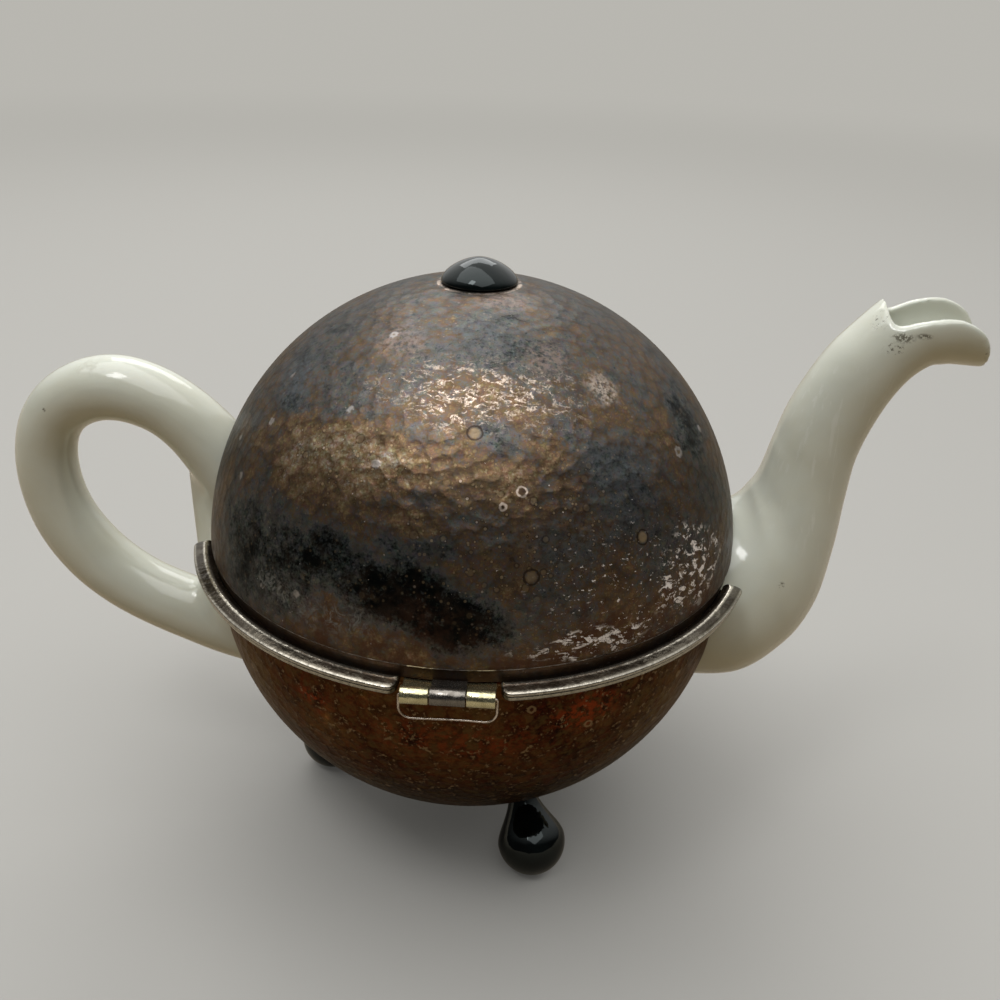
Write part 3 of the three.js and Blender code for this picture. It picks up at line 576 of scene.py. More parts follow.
# Hammered dome: silver plate worn through to copper and dulled. The tarnish ramp runs from bare silver
# through gold, brown and slate to black.
domeLook = {
    "hammerMark": 2.9,
    "markDepth": 0.20,
    "waveDepth": 0.30,
    "crustDepth": 0.05,
    "tarnish": [
        (0.00, (0.48, 0.43, 0.38)),
        (0.14, (0.290, 0.225, 0.155)),
        (0.30, (0.185, 0.122, 0.064)),
        (0.42, (0.122, 0.076, 0.042)),
        (0.52, (0.104, 0.080, 0.062)),
        (0.62, (0.096, 0.097, 0.094)),
        (0.78, (0.036, 0.042, 0.041)),
        (0.92, (0.002, 0.003, 0.003)),
    ],
    "rust": (0.070, 0.030, 0.016),
    "silver": (0.46, 0.43, 0.41),
    "rose": (0.25, 0.185, 0.155),
    "slate": (0.104, 0.118, 0.130),
    # Middle, reach, raggedness and softness of the areas that have a look of their own
    "areas": {
        "golden": ((-22, -43, 45), (26, 18, 12), 0.5, 0.7),
        "goldenRight": ((8, -50, 46), (20, 14, 12), 0.5, 0.8),
        # Lighter tarnish under the crown: partly patina, partly a painted highlight
        "glowAndHighlight": ((1, -40, 57), (24, 14, 8), 0.6, 0.8),
        "brown": ((6, -61, 29), (26, 14, 13), 0.4, 0.8),
        # Where cream glints are painted as highlights under the crown
        "paintedGlints": ((4, -37, 58), (30, 16, 8), 0.4, 0.8),
        "blots": ((14, -55, 38), (30, 20, 19), 0.4, 0.7),
        "unrusted": ((-45, -42, 18), (26, 34, 16), 0.3, 0.7),
        "hazeLeft": ((-37, -49, 19), (9, 9, 5), 0.7, 0.9),
        "hazeMiddle": ((-22, -57, 17), (15, 9, 5), 0.7, 0.9),
        "bareLow": ((27, -58, 14), (22, 16, 5), 0.45, 0.9),
        "bareRight": ((49, -39, 21), (15, 20, 12), 0.45, 0.9),
        "crumbs": ((34, -50, 22), (36, 26, 20), 0.4, 0.9),
    },
    # Middle, reach and how dark: 0 is bare silver, 1 is black
    "zones": [
        ((-42, -45, 21), (24, 26, 17), 0.80),
        ((-26, -55, 29), (16, 14, 9), 0.84),
        ((-10, -61, 25), (17, 12, 9), 1.00),
        ((3, -63, 20), (15, 12, 8), 1.00),
        ((31, -43, 42), (15, 17, 17), 0.66),
        ((8, -28, 64), (17, 11, 7), 0.68),
        ((-32, -16, 59), (17, 12, 8), 0.64),
        ((24, -54, 35), (16, 14, 9), 0.50),
        ((22, -59, 22), (14, 12, 8), 0.56),
        ((-9, -53, 38), (13, 10, 6), 0.38),
    ],
    # Scale, detail and gain of the wandering tarnish, from broad to fine
    "blotches": [(0.10, 6.0, 0.60), (0.42, 7.0, 0.75), (1.6, 5.0, 0.75)],
    # Size, share, drop, tint and strength of the small round blots
    "blots": [
        (2.7, 0.55, 0.36, "tan", 0.50),
        (1.15, 0.65, 0.38, "gilt", 0.60),
        (1.9, 0.35, 0.22, "cream", 0.60),
    ],
    # Middle, reach, tint and strength
    "patches": [
        ((27.4, -29.0, 57.2), (5.0, 5.0, 7.0), "cream", 0.60),
        ((6.0, -11.0, 70.0), (10.0, 7.0, 3.0), "rose", 0.55),
        ((-14.9, -24.4, 64.4), (10.0, 10.0, 4.0), "rose", 0.60),
        ((15.6, -27.7, 62.7), (7.0, 9.0, 5.0), "rose", 0.55),
        ((-36.8, -23.7, 54.1), (10.0, 16.0, 7.0), "slate", 0.80),
        ((34.0, -40.0, 44.0), (12.0, 14.0, 13.0), "slate", 0.55),
        ((-1.0, -22.0, 66.0), (17.0, 10.0, 5.0), "slate", 0.60),
        ((24.0, -54.0, 35.0), (16.0, 14.0, 9.0), "haze", 0.30),
    ],
    # Middle, radius, tint of the edge and of the inside
    "rings": [
        ((12.4, -51.3, 44.0), 0.95, "cream", "outline"),
        ((8.9, -53.5, 41.6), 0.70, "cream", "outline"),
        ((2.6, -44.9, 53.1), 1.50, "outline", "tan"),
        ((15.0, -58.4, 29.2), 1.60, "outline", "tan"),
        ((37.2, -46.2, 32.5), 1.50, "outline", "gilt"),
    ],
    "cream": (0.64, 0.53, 0.44),
    "tan": (0.27, 0.20, 0.12),
    "gilt": (0.42, 0.31, 0.18),
    "chalk": (0.84, 0.78, 0.74),
    "outline": (0.030, 0.020, 0.014),
    "collar": (0.045, 0.028, 0.018),
    "haze": (0.190, 0.190, 0.180),
    "grazing": (0.55, 0.55, 0.55),
    "rubbedRing": 9.3,
    "roughness": 0.34,
}


def domeMaterial():
    look = domeLook
    made, shader, place = newMaterial("tarnishedPlate")
    height = axisOf(place, "Z")
    uneven = scaledPlus(minus(noise(place, 0.05, 5.0), 0.5), 34.0, height)
    area = {name: zoneMask(place, *row) for name, row in look["areas"].items()}

    # How far the tarnish has gone: broad zones first. The lighter glow under the crown is partly patina and partly a
    # painted highlight
    clouds = useGroup(tarnishClouds, place, Size=30.0, Seed=3.0, Low=0.42, High=0.60)["Cloud"]
    other = useGroup(tarnishClouds, place, Size=38.0, Seed=120.0, Low=0.54, High=0.66)["Cloud"]
    amount = lerp(clouds, 0.44, 0.60)
    for mask, darkness in (
        (other, 0.84),
        (spread(uneven, 48, 64), 0.56),
        (area["goldenRight"], 0.38),
        (area["golden"], 0.23),
        (times(area["glowAndHighlight"], 0.6), 0.36),
        (larger(area["brown"], spread(uneven, 14, 28, 1.0, 0.0)), 0.45),
    ):
        amount = lerp(mask, amount, darkness)
    for middle, reach, darkness in look["zones"]:
        amount = lerp(zoneMask(place, middle, reach, 0.35, 0.75), amount, darkness)
    amount = blotched(amount, place, look["blotches"])
    colour = ramp(amount, look["tarnish"])
    colour = blend(0.37, colour, noise(place, 0.8, 4.0, 0.7, output="Color"), "OVERLAY")
    # Hammer marks show by a darker line round each and by tan hollows
    marks = useGroup(hammerMarks, place, Size=look["hammerMark"], Unevenness=0.6)
    colour = coat(colour, look["outline"], marks["Ridge"], 0.35)
    hollows = times(spread(marks["Height"], 0.0, 0.45, 1.0, 0.0), patchy(0.44, 0.62, place, 0.6, 4.0, 0.65))
    colour = coat(colour, look["tan"], hollows, 0.30)
    for middle, reach, name, strength in look["patches"]:
        patch = times(zoneMask(place, middle, reach, 0.6, 0.8), patchy(0.40, 0.60, place, 0.9, 6.0, 0.7))
        colour = coat(colour, look[name], patch, strength)
    # Painted glints: cream highlights painted in a wavy band under the crown
    waves = mapped(place, Scale=(0.65, 0.8, 1.4))
    paintedGlints = times(patchy(0.50, 0.62, waves, 0.55, 6.0, 0.7, 1.2), patchy(0.36, 0.56, place, 2.4, 3.0, 0.6))
    paintedGlints = times(area["paintedGlints"], paintedGlints)
    colour = coat(colour, look["cream"], paintedGlints, 0.84)
    # Round blots that have stayed lighter, with a darker outline
    dotted = scaledPlus(larger(area["golden"], area["blots"]), 0.75, 0.2)
    for size, share, drop, name, strength in look["blots"]:
        blots = useGroup(driedDrops, place, Size=size, Amount=share, Drop=drop)
        colour = coat(colour, look[name], times(blots["Spot"], dotted), strength)
        colour = coat(colour, look["outline"], times(blots["Ring"], dotted), 0.5)
    for middle, radius, edgeName, insideName in look["rings"]:
        off = scaledPlus(noise(place, 1.2, 2.0), 0.5, minus(vectorCalc("DISTANCE", place, middle), 0.25))
        colour = coat(colour, look[insideName], spread(off, 0.5 * radius, 0.9 * radius, 1.0, 0.0), 0.7)
        colour = coat(colour, look[edgeName], nearTo(off, radius, 0.08, 0.30), 0.8)

    rusty = times(spread(uneven, 13, 26, 0.8, 0.0), patchy(0.40, 0.60, place, 0.3, 6.0, 0.7))
    colour = blend(times(rusty, minus(1.0, area["unrusted"])), colour, look["rust"])
    hazy = times(larger(area["hazeLeft"], area["hazeMiddle"]), patchy(0.44, 0.68, place, 0.45, 7.0, 0.7, 2.2))
    colour = blend(hazy, colour, look["haze"])
    scratches = useGroup(hairScratches, place, Length=8.0, Amount=0.55)["Mask"]
    colour = coat(colour, look["silver"], scratches, 0.22)

    # Dried drops, and plate that has stayed bare
    drops = useGroup(driedDrops, place, Size=8.5, Amount=0.38, Drop=0.13)
    colour = coat(colour, look["tan"], drops["Spot"], 0.5)
    colour = coat(colour, look["silver"], drops["Ring"], 0.55)
    slanted = mapped(place, Rotation=(0.0, 0.7, 0.6), Scale=(0.55, 1.0, 1.3))
    flecks = patchy(0.545, 0.575, slanted, 0.50, 6.0, 0.68, 0.5)
    flecks = times(flecks, patchy(0.36, 0.44, place, 1.7, 3.0, 0.6))
    crumbs = times(area["crumbs"], patchy(0.63, 0.66, slanted, 1.2, 4.0, 0.65))
    elsewhere = larger(patchy(0.71, 0.74, place, 0.9, 4.0, 0.7), crumbs)
    bare = larger(times(spread(larger(area["bareLow"], area["bareRight"]), 0.1, 0.5), flecks), elsewhere)
    colour = coat(colour, look["chalk"], bare, 0.9)
    # Plate worn bright round the knob
    reach = vectorCalc("LENGTH", vectorCalc("MULTIPLY", place, (1, 1, 0)))
    rubbed = nearTo(reach, look["rubbedRing"], 0.15, 0.65)
    rubbed = times(rubbed, patchy(0.36, 0.60, place, 0.5, 5.0, 0.7))
    colour = coat(colour, look["cream"], times(rubbed, spread(height, 55, 56)), 0.75)
    # The plain collar is nearly black, with a thin bright line on its step
    collarTop = shared["collarTop"]
    colour = coat(colour, look["collar"], spread(height, collarTop - 0.1, collarTop + 1.2, 1.0, 0.0), 0.6)
    step = times(nearTo(height, collarTop + 0.2, 0.10, 0.36), patchy(0.30, 0.60, place, 0.7, 5.0, 0.7))
    colour = coat(colour, look["silver"], step, 0.85)
    feed(shader["Base Color"], colour)
    chalky = larger(bare, times(hazy, 0.6))
    feed(shader["Metallic"], scaledPlus(chalky, -0.74, 0.76))
    feed(shader["Specular IOR Level"], 0.25)
    feed(shader["Specular Tint"], look["grazing"])

    rough = scaledPlus(noise(place, 1.1, 6.0, 0.75), 0.34, look["roughness"] - 0.17)
    rough = scaledPlus(hazy, 0.15, scaledPlus(paintedGlints, -0.16, rough))
    feed(shader["Roughness"], rough)
    relief = times(marks["Height"], look["markDepth"])
    relief = scaledPlus(noise(waves, 0.17, 2.0, 0.5), look["waveDepth"], relief)
    relief = scaledPlus(noise(place, 1.5, 7.0, 0.72), look["crustDepth"], relief)
    relief = scaledPlus(drops["Ring"], 0.03, scaledPlus(bare, 0.02, relief))
    plain = spread(height, collarTop - 0.2, collarTop + 0.6, 0.2, 1.0)
    feed(shader["Normal"], bump(times(relief, plain), 1.0))
    return made


# Hammered bowl: dark red-brown copper with olive and gold patches
bowlLook = {
    "hammerMark": 2.7,
    "markDepth": 0.24,
    "waveDepth": 0.14,
    "crustDepth": 0.03,
    "tarnish": [
        (0.00, (0.360, 0.190, 0.065)),
        (0.22, (0.160, 0.070, 0.020)),
        (0.38, (0.085, 0.028, 0.008)),
        (0.52, (0.060, 0.013, 0.004)),
        (0.66, (0.022, 0.005, 0.002)),
        (0.85, (0.005, 0.002, 0.001)),
    ],
    "olive": (0.112, 0.068, 0.022),
    "red": (0.205, 0.036, 0.009),
    "fleck": (0.36, 0.25, 0.13),
    # Middle, reach, raggedness and softness of the areas that have a look of their own
    "areas": {
        "gilded": ((-26, -54, -15), (20, 20, 12), 0.5, 0.9),
        "oliveLeft": ((-48, -42, -12), (14, 20, 16), 0.5, 0.8),
        "oliveRight": ((45, -43, -13), (14, 20, 16), 0.5, 0.8),
        "redLeft": ((-30, -55, -6), (9, 10, 5), 0.7, 0.9),
        "redRight": ((28, -57, -4), (12, 10, 7), 0.7, 0.9),
        "redMiddle": ((0, -62, -10), (30, 14, 9), 0.6, 0.9),
    },
    # Scale, detail and gain of the wandering tarnish, from broad to fine
    "blotches": [(0.14, 6.0, 0.8), (0.5, 6.0, 0.7), (2.2, 5.0, 0.45)],
    "grazing": (0.6, 0.55, 0.5),
    "roughness": 0.36,
}


def bowlMaterial():
    look = bowlLook
    made, shader, place = newMaterial("darkCopper")
    height = axisOf(place, "Z")
    uneven = scaledPlus(minus(noise(place, 0.06, 5.0), 0.5), 24.0, height)
    clouds = useGroup(tarnishClouds, place, Size=24.0, Seed=15.0, Low=0.42, High=0.60)["Cloud"]
    amount = lerp(clouds, 0.46, 0.60)
    area = {name: zoneMask(place, *row) for name, row in look["areas"].items()}
    amount = lerp(area["gilded"], amount, 0.36)
    amount = lerp(spread(uneven, -34, -20, 1.0, 0.0), amount, 0.72)
    amount = blotched(amount, place, look["blotches"])
    marks = useGroup(hammerMarks, place, Size=look["hammerMark"], Unevenness=0.7)
    amount = scaledPlus(marks["Ridge"], -0.10, amount)
    colour = ramp(amount, look["tarnish"])
    colour = blend(0.5, colour, noise(place, 0.7, 4.0, 0.7, output="Color"), "OVERLAY")
    dimples = times(spread(marks["Ridge"], 0.0, 0.6, 1.0, 0.0), patchy(0.42, 0.60, place, 0.5, 4.0, 0.6))
    colour = coat(colour, look["olive"], dimples, 0.50)
    colour = coat(colour, look["tarnish"][-1][1], marks["Ridge"], 0.6)
    back = useGroup(tarnishClouds, place, Size=30.0, Seed=64.0, Low=0.52, High=0.66)["Cloud"]
    sides = larger(larger(area["oliveLeft"], area["oliveRight"]), times(back, 0.7))
    blotchy = patchy(0.36, 0.62, place, 0.35, 6.0, 0.7)
    colour = coat(colour, look["olive"], sides, blotchy)
    red = larger(larger(area["redLeft"], area["redRight"]), times(area["redMiddle"], 0.5))
    redBlots = patchy(0.46, 0.58, place, 0.6, 5.0, 0.65)
    colour = coat(colour, look["red"], red, redBlots)
    drops = useGroup(driedDrops, place, Size=5.5, Amount=0.35, Drop=0.16)
    specks = useGroup(driedDrops, place, Size=2.2, Amount=0.14, Drop=0.20)
    broken = patchy(0.545, 0.60, place, 1.1, 4.0, 0.65)
    curls = times(spread(marks["Ridge"], 0.35, 0.8), broken)
    pale = larger(times(drops["Ring"], 0.5), times(specks["Spot"], 0.45))
    pale = larger(pale, times(curls, 0.48))
    colour = blend(pale, colour, look["fleck"])
    feed(shader["Base Color"], colour)
    feed(shader["Metallic"], scaledPlus(pale, -0.7, 0.86))
    feed(shader["Specular Tint"], look["grazing"])
    feed(shader["Specular IOR Level"], 0.2)
    feed(shader["Roughness"], scaledPlus(noise(place, 1.2, 6.0, 0.75), 0.32, look["roughness"] - 0.16))
    relief = times(marks["Height"], look["markDepth"])
    relief = scaledPlus(noise(place, 0.18, 2.0, 0.5), look["waveDepth"], relief)
    relief = scaledPlus(noise(place, 1.6, 7.0, 0.72), look["crustDepth"], relief)
    feed(shader["Normal"], bump(relief, 1.0))
    return made


# Rim mouldings: worn nickel silver, bright along the crests, partly from wear and partly as a painted highlight
rimLook = {
    # Pale metal: wear, and along the crest and outer edge also a painted highlight
    "wornAndHighlight": (0.72, 0.67, 0.57),
    "dull": (0.052, 0.042, 0.031),
    "plain": (0.118, 0.103, 0.080),
    "olive": (0.098, 0.084, 0.040),
    "roughness": 0.20,
}


def rimMaterial():
    look = rimLook
    made, shader, place = newMaterial("nickelSilver")
    clouds = useGroup(tarnishClouds, place, Size=7.0, Seed=9.0, Low=0.42, High=0.60)
    colour = blend(clouds["Cloud"], look["dull"], look["plain"])
    height = axisOf(place, "Z")
    reach = vectorCalc("LENGTH", vectorCalc("MULTIPLY", place, (1, 1, 0)))
    colour = coat(colour, look["olive"], spread(height, shared["seam"] - 0.3, shared["seam"], 1.0, 0.0), 0.7)
    # Bright along the crest, and less so along the outer edge: partly wear, partly a painted highlight
    broken = patchy(0.30, 0.60, place, 1.3, 5.0, 0.7)
    crest = nearTo(reach, shared["crestRadius"] + 0.1, 0.25, 0.8)
    crest = times(crest, spread(height, 7.7, 8.2))
    edge = times(spread(reach, 68.45, 68.95), 0.55)
    wornAndHighlight = times(larger(crest, edge), scaledPlus(broken, 0.6, 0.4))
    colour = blend(wornAndHighlight, colour, look["wornAndHighlight"])
    scratches = useGroup(hairScratches, place, Length=6.0, Amount=0.6)["Mask"]
    colour = coat(colour, look["wornAndHighlight"], scratches, 0.3)
    feed(shader["Base Color"], colour)
    feed(shader["Metallic"], 0.95)
    feed(shader["Roughness"], scaledPlus(clouds["Speckle"], 0.12, look["roughness"] - 0.04))
    dings = plus(noise(place, 0.5, 3.0), times(noise(place, 2.5, 4.0), 0.12))
    feed(shader["Normal"], bump(dings, 0.16))
    return made


# Hinge: bright worn brass outside, dark plate in the middle
hingeLook = {
    "brass": (0.58, 0.53, 0.33),
    "brassShade": (0.34, 0.30, 0.16),
    "plate": (0.19, 0.175, 0.155),
    "plateShade": (0.045, 0.038, 0.03),
    "paintedCornerShade": (0.02, 0.018, 0.012),
    "brassRoughness": 0.16,
    "plateRoughness": 0.20,
}


def hingeMaterial(name, kind):
    bright, shade, roughness = (hingeLook[kind + part] for part in ("", "Shade", "Roughness"))
    made, shader, place = newMaterial(name)
    clouds = useGroup(tarnishClouds, place, Size=2.6, Seed=5.0, Low=0.45, High=0.62)
    edgeWearAndShade = newNode("ShaderNodeGroup", {"Spread": 0.04}, made.node_tree, node_tree=edgesAndCorners).outputs
    colour = blend(clouds["Cloud"], bright, shade)
    colour = coat(colour, tuple(min(1.0, 1.15 * c) for c in bright), edgeWearAndShade["Edge"], 0.7)
    # Painted shade in the inner corners
    colour = coat(colour, hingeLook["paintedCornerShade"], edgeWearAndShade["Corner"], 0.9)
    feed(shader["Base Color"], colour)
    feed(shader["Metallic"], 0.95)
    feed(shader["Roughness"], scaledPlus(clouds["Speckle"], 0.16, roughness))
    feed(shader["Normal"], bump(noise(place, 1.0, 3.0), 0.08))
    return made


# Steel of the screws, the washers and the wire
steelLook = {
    "bright": (0.60, 0.59, 0.57),
    "dull": (0.30, 0.28, 0.26),
    "wireBright": (0.62, 0.54, 0.47),
    "wireDull": (0.36, 0.29, 0.23),
    "roughness": 0.26,
}


def steelMaterial(name, bright, dull):
    made, shader, place = newMaterial(name)
    clouds = useGroup(tarnishClouds, place, Size=3.0, Seed=31.0, Low=0.48, High=0.66)
    scratches = useGroup(hairScratches, place, Length=3.0, Amount=0.7)["Mask"]
    feed(shader["Base Color"], blend(clouds["Cloud"], bright, dull))
    feed(shader["Metallic"], 1.0)
    feed(shader["Roughness"], scaledPlus(clouds["Speckle"], 0.14, steelLook["roughness"]))
    feed(shader["Normal"], bump(scratches, 0.03, 0.6))
    return made


# Glossy black of the knob and the feet
blackLook = {
    "black": (0.0015, 0.002, 0.002),
    "tint": (0.003, 0.005, 0.005),
    "shine": 0.34,
    "sheen": (0.88, 1.0, 1.0),
    "roughness": 0.05,
}


def blackMaterial():
    look = blackLook
    made, shader, place = newMaterial("blackGloss")
    clouds = useGroup(tarnishClouds, place, Size=6.0, Seed=60.0, Low=0.40, High=0.65)
    feed(shader["Base Color"], blend(clouds["Cloud"], look["black"], look["tint"]))
    dust = patchy(0.60, 0.72, place, 3.2, 4.0, 0.7)
    scratches = useGroup(hairScratches, place, Length=4.0, Amount=0.5)["Mask"]
    rough = scaledPlus(dust, 0.10, scaledPlus(scratches, 0.12, look["roughness"]))
    feed(shader["Roughness"], rough)
    feed(shader["Normal"], bump(noise(place, 0.35, 2.0), 0.12, 0.5))
    feed(shader["Specular IOR Level"], look["shine"])
    feed(shader["Specular Tint"], look["sheen"])
    return made


# Glazed porcelain, with a few chips and stains on the beak
porcelainLook = {
    "glaze": (0.605, 0.620, 0.535),
    "cream": (0.570, 0.555, 0.425),
    "stainAndShade": (0.340, 0.330, 0.240),
    "chip": (0.080, 0.070, 0.042),
    # Pale runs down the spout: partly glaze runs, partly painted highlights
    "runAndHighlight": (0.720, 0.730, 0.670),
    "stained": ((-92, -4.5, 47), (7, 6, 3), 0.5, 0.9),
    "runAndHighlightZone": ((85, -6, 36), (26, 24, 34), 0.3, 0.6),
    # Middle, reach and the noise level that a chip starts at
    "chips": [
        ((94.0, -8.8, 65.0), (3.2, 3.5, 1.5), 0.47),
        ((98.2, -9.7, 65.8), (2.2, 2.5, 0.9), 0.42),
        ((89.7, -4.5, 67.5), (2.6, 3.2, 3.0), 0.56),
        ((92.5, -8.9, 62.5), (3.6, 3.5, 1.6), 0.55),
        ((113.2, -8.7, 62.5), (1.6, 3.2, 4.0), 0.58),
        ((75.0, -18.3, 5.7), (1.3, 1.3, 1.0), 0.49),
        ((-103.6, -7.1, 36.8), (0.7, 1.2, 0.7), 0.42),
    ],
    "roughness": 0.10,
}


def porcelainMaterial():
    look = porcelainLook
    made, shader, place = newMaterial("glazedPorcelain")
    clouds = useGroup(tarnishClouds, place, Size=30.0, Seed=70.0, Low=0.40, High=0.70)
    colour = blend(times(clouds["Cloud"], 0.35), look["glaze"], look["cream"])
    edgeWearAndShade = newNode("ShaderNodeGroup", {"Spread": 0.05}, made.node_tree, node_tree=edgesAndCorners).outputs
    # Painted shade in the inner corners, in the stain colour
    colour = coat(colour, look["stainAndShade"], edgeWearAndShade["Corner"], 0.35)
    specks = useGroup(driedDrops, place, Size=9.0, Amount=0.10, Drop=0.035)["Spot"]
    colour = coat(colour, look["stainAndShade"], specks, 0.6)
    stained = times(zoneMask(place, *look["stained"]), patchy(0.42, 0.66, place, 0.5, 5.0, 0.65))
    colour = coat(colour, look["stainAndShade"], stained, 0.45)
    # Thin pale streaks down the spout: partly where the glaze ran, partly painted highlights
    drawn = mapped(place, Rotation=(0.0, 0.42, 0.0), Scale=(1.0, 1.0, 0.05))
    runsAndHighlights = times(patchy(0.57, 0.66, drawn, 0.55, 4.0, 0.6), zoneMask(place, *look["runAndHighlightZone"]))
    colour = coat(colour, look["runAndHighlight"], runsAndHighlights, 0.4)
    grain = noise(place, 1.5, 5.0, 0.65)
    for middle, reach, share in look["chips"]:
        chipped = times(zoneMask(place, middle, reach, 0.2, 0.7), spread(grain, share, share + 0.06))
        colour = coat(colour, look["chip"], chipped, 0.8)
    feed(shader["Base Color"], colour)
    feed(shader["Roughness"], scaledPlus(noise(place, 0.12, 3.0), 0.06, look["roughness"] - 0.03))
    feed(shader["Coat Weight"], 0.25)
    feed(shader["Coat Roughness"], 0.04)
    feed(shader["Subsurface Weight"], 0.06)
    feed(shader["Subsurface Radius"], (0.004, 0.003, 0.002))
    ripple = plus(noise(place, 0.06, 2.0), times(noise(place, 0.5, 2.0), 0.06))
    feed(shader["Normal"], bump(ripple, 0.8, 0.5))
    return made


# Pressed wool felt of the linings
feltLook = {"wool": (0.35, 0.315, 0.245), "fleck": (0.19, 0.165, 0.125)}


def feltMaterial():
    look = feltLook
    made, shader, place = newMaterial("woolFelt")
    clouds = useGroup(tarnishClouds, place, Size=14.0, Seed=22.0, Low=0.40, High=0.66)
    fibres = noise(place, 2.2, 8.0, 0.8, 1.5)
    colour = blend(times(clouds["Cloud"], 0.5), look["wool"], look["fleck"])
    colour = blend(spread(fibres, 0.50, 0.70), colour, tuple(1.35 * c for c in look["wool"]))
    feed(shader["Base Color"], colour)
    feed(shader["Roughness"], 0.95)
    feed(shader["Sheen Weight"], 0.35)
    feed(shader["Normal"], bump(fibres, 0.5))
    return made


dullPlate = domeMaterial()
darkCopper = bowlMaterial()
nickelSilver = rimMaterial()
brass = hingeMaterial("wornBrass", "brass")
hingePlate = hingeMaterial("darkPlate", "plate")
steel = steelMaterial("dullSteel", steelLook["bright"], steelLook["dull"])
wireSteel = steelMaterial("wireSteel", steelLook["wireBright"], steelLook["wireDull"])
blackGloss = blackMaterial()
porcelain = porcelainMaterial()
felt = feltMaterial()
print("materials made")


# Slots of the jacket for the spout and the handle
slots = {
    "spoutHeight": -6.3,
    "spoutHalfWidth": 24.0,
    "spoutHalfHeight": 24.9,
    "handleHalfWidth": 14.5,
    "handleTop": 34.5,
    "handleBend": -14.0,
    "handleBottom": -41.0,
    "spoutReach": (26, 80),
    "handleReach": (-80, -26),
}


def ellipse(middle, halfWidth, halfHeight, start=0.0, end=360.0, steps=96):
    angles = [math.radians(start + (end - start) * i / steps) for i in range(steps + (end - start < 360))]
    return [(halfWidth * math.cos(a), middle + halfHeight * math.sin(a)) for a in angles]


def cutSlots(piece, spoutOutline, handleOutline):
    cutAway(piece, prism(spoutOutline, *slots["spoutReach"], "x"))
    cutAway(piece, prism(handleOutline, *slots["handleReach"], "x"))


def cutDomeSlots(piece, margin):
    cutSlots(
        piece,
        ellipse(slots["spoutHeight"], slots["spoutHalfWidth"] + margin, slots["spoutHalfHeight"] + margin),
        ellipse(shared["seam"], slots["handleHalfWidth"] + margin, slots["handleTop"] - shared["seam"] + margin),
    )


def cutBowlSlots(piece, margin):
    # Open at the top, round at the bottom
    top = shared["seam"] + 2
    outlines = []
    for middle, halfWidth, depth in (
        (slots["spoutHeight"], slots["spoutHalfWidth"], slots["spoutHalfHeight"]),
        (slots["handleBend"], slots["handleHalfWidth"], slots["handleBend"] - slots["handleBottom"]),
    ):
        width = halfWidth + margin
        outlines.append([(width, top), (-width, top), *ellipse(middle, width, depth + margin, 180, 359.999, 64)])
    cutSlots(piece, *outlines)


def degreesAt(rise, radius):
    return math.degrees(math.asin(rise / radius))


def degreesOut(reach, radius):
    return math.degrees(math.acos(reach / radius))


domeShape = {"around": 224, "rows": 64, "knobHole": 1.7}


def buildDome():
    shape = domeShape
    radius, centre = shared["domeRadius"], shared["domeCentre"]
    collar, collarTop = shared["collarRadius"], shared["collarTop"]
    inner = radius - shared["sheet"]
    edge = domeEdge
    start = degreesAt(collarTop + 0.3 - centre, radius)
    profile = [
        (collar - 0.2, edge),
        (collar, edge + 0.2),
        (collar, collarTop - 1.5),
        (collar, collarTop - 0.1),
        (collar + 0.18, collarTop + 0.04),
        *arc(centre, radius, start, degreesOut(shape["knobHole"], radius), shape["rows"]),
        *arc(centre, inner, degreesOut(shape["knobHole"], inner), start + 0.5, shape["rows"] // 2),
        (collar - shared["sheet"], collarTop),
        (collar - shared["sheet"], edge),
    ]
    made = meshPiece("domeShell", *lathe(profile, shape["around"]))
    cutDomeSlots(made, 0)
    return dress(made, dullPlate, "dome_plate", "dome", "dome_shell")


bowlShape = {"around": 224, "rows": 56}


def buildBowl():
    shape = bowlShape
    radius = shared["bowlRadius"]
    inner = radius - shared["sheet"]
    edge = bowlEdge
    profile = [
        *arc(0, radius, -90, 0, shape["rows"]),
        (radius, edge - 0.2),
        (radius - 0.2, edge),
        (inner, edge),
        *arc(0, inner, 0, -90, shape["rows"] // 2),
    ]
    made = meshPiece("bowlShell", *lathe(profile, shape["around"]))
    cutBowlSlots(made, 0)
    return dress(made, darkCopper, "bowl_copper", "jacket_base", "bowl_shell")


feltShape = {"thickness": 3.5, "setBack": 0.75, "around": 160, "rows": 28, "screwHole": 6.2}
feet = {
    "angles": {"front": -61.5, "back": 61.5, "handle_side": 180},
    "bulbRadius": 8.7,
    "reach": 39.598,
    "neckRadius": 3.4,
    "fullness": 0.4,
    "waist": 0.69,
    "floorDepth": 73.7,
    "soleFlat": 0.3,
    "washerRadius": 4.2,
    "washerEdge": 0.6,
    "screwRadius": 1.4,
    "headRadius": 2.8,
    "headHeight": 1.6,
    "screwDepth": 9.0,
}
bulbHeight = feet["bulbRadius"] - feet["soleFlat"] - feet["floorDepth"]
lean = math.atan2(feet["reach"], -bulbHeight)


def alongFootTo(radius):
    # Distance up a foot's own axis, from the bulb's centre to a sphere about the ball's centre
    return math.hypot(feet["reach"], bulbHeight) - radius


def footMatrix(degrees):
    return (Matrix.Rotation(math.radians(degrees), 4, "Z")
            @ Matrix.Translation((feet["reach"], 0, bulbHeight))
            @ Matrix.Rotation(-lean, 4, "Y"))


washerWall = math.sqrt((shared["bowlRadius"] - shared["sheet"]) ** 2 - feet["washerRadius"] ** 2)
screwSeat = alongFootTo(washerWall) + feet["washerEdge"]


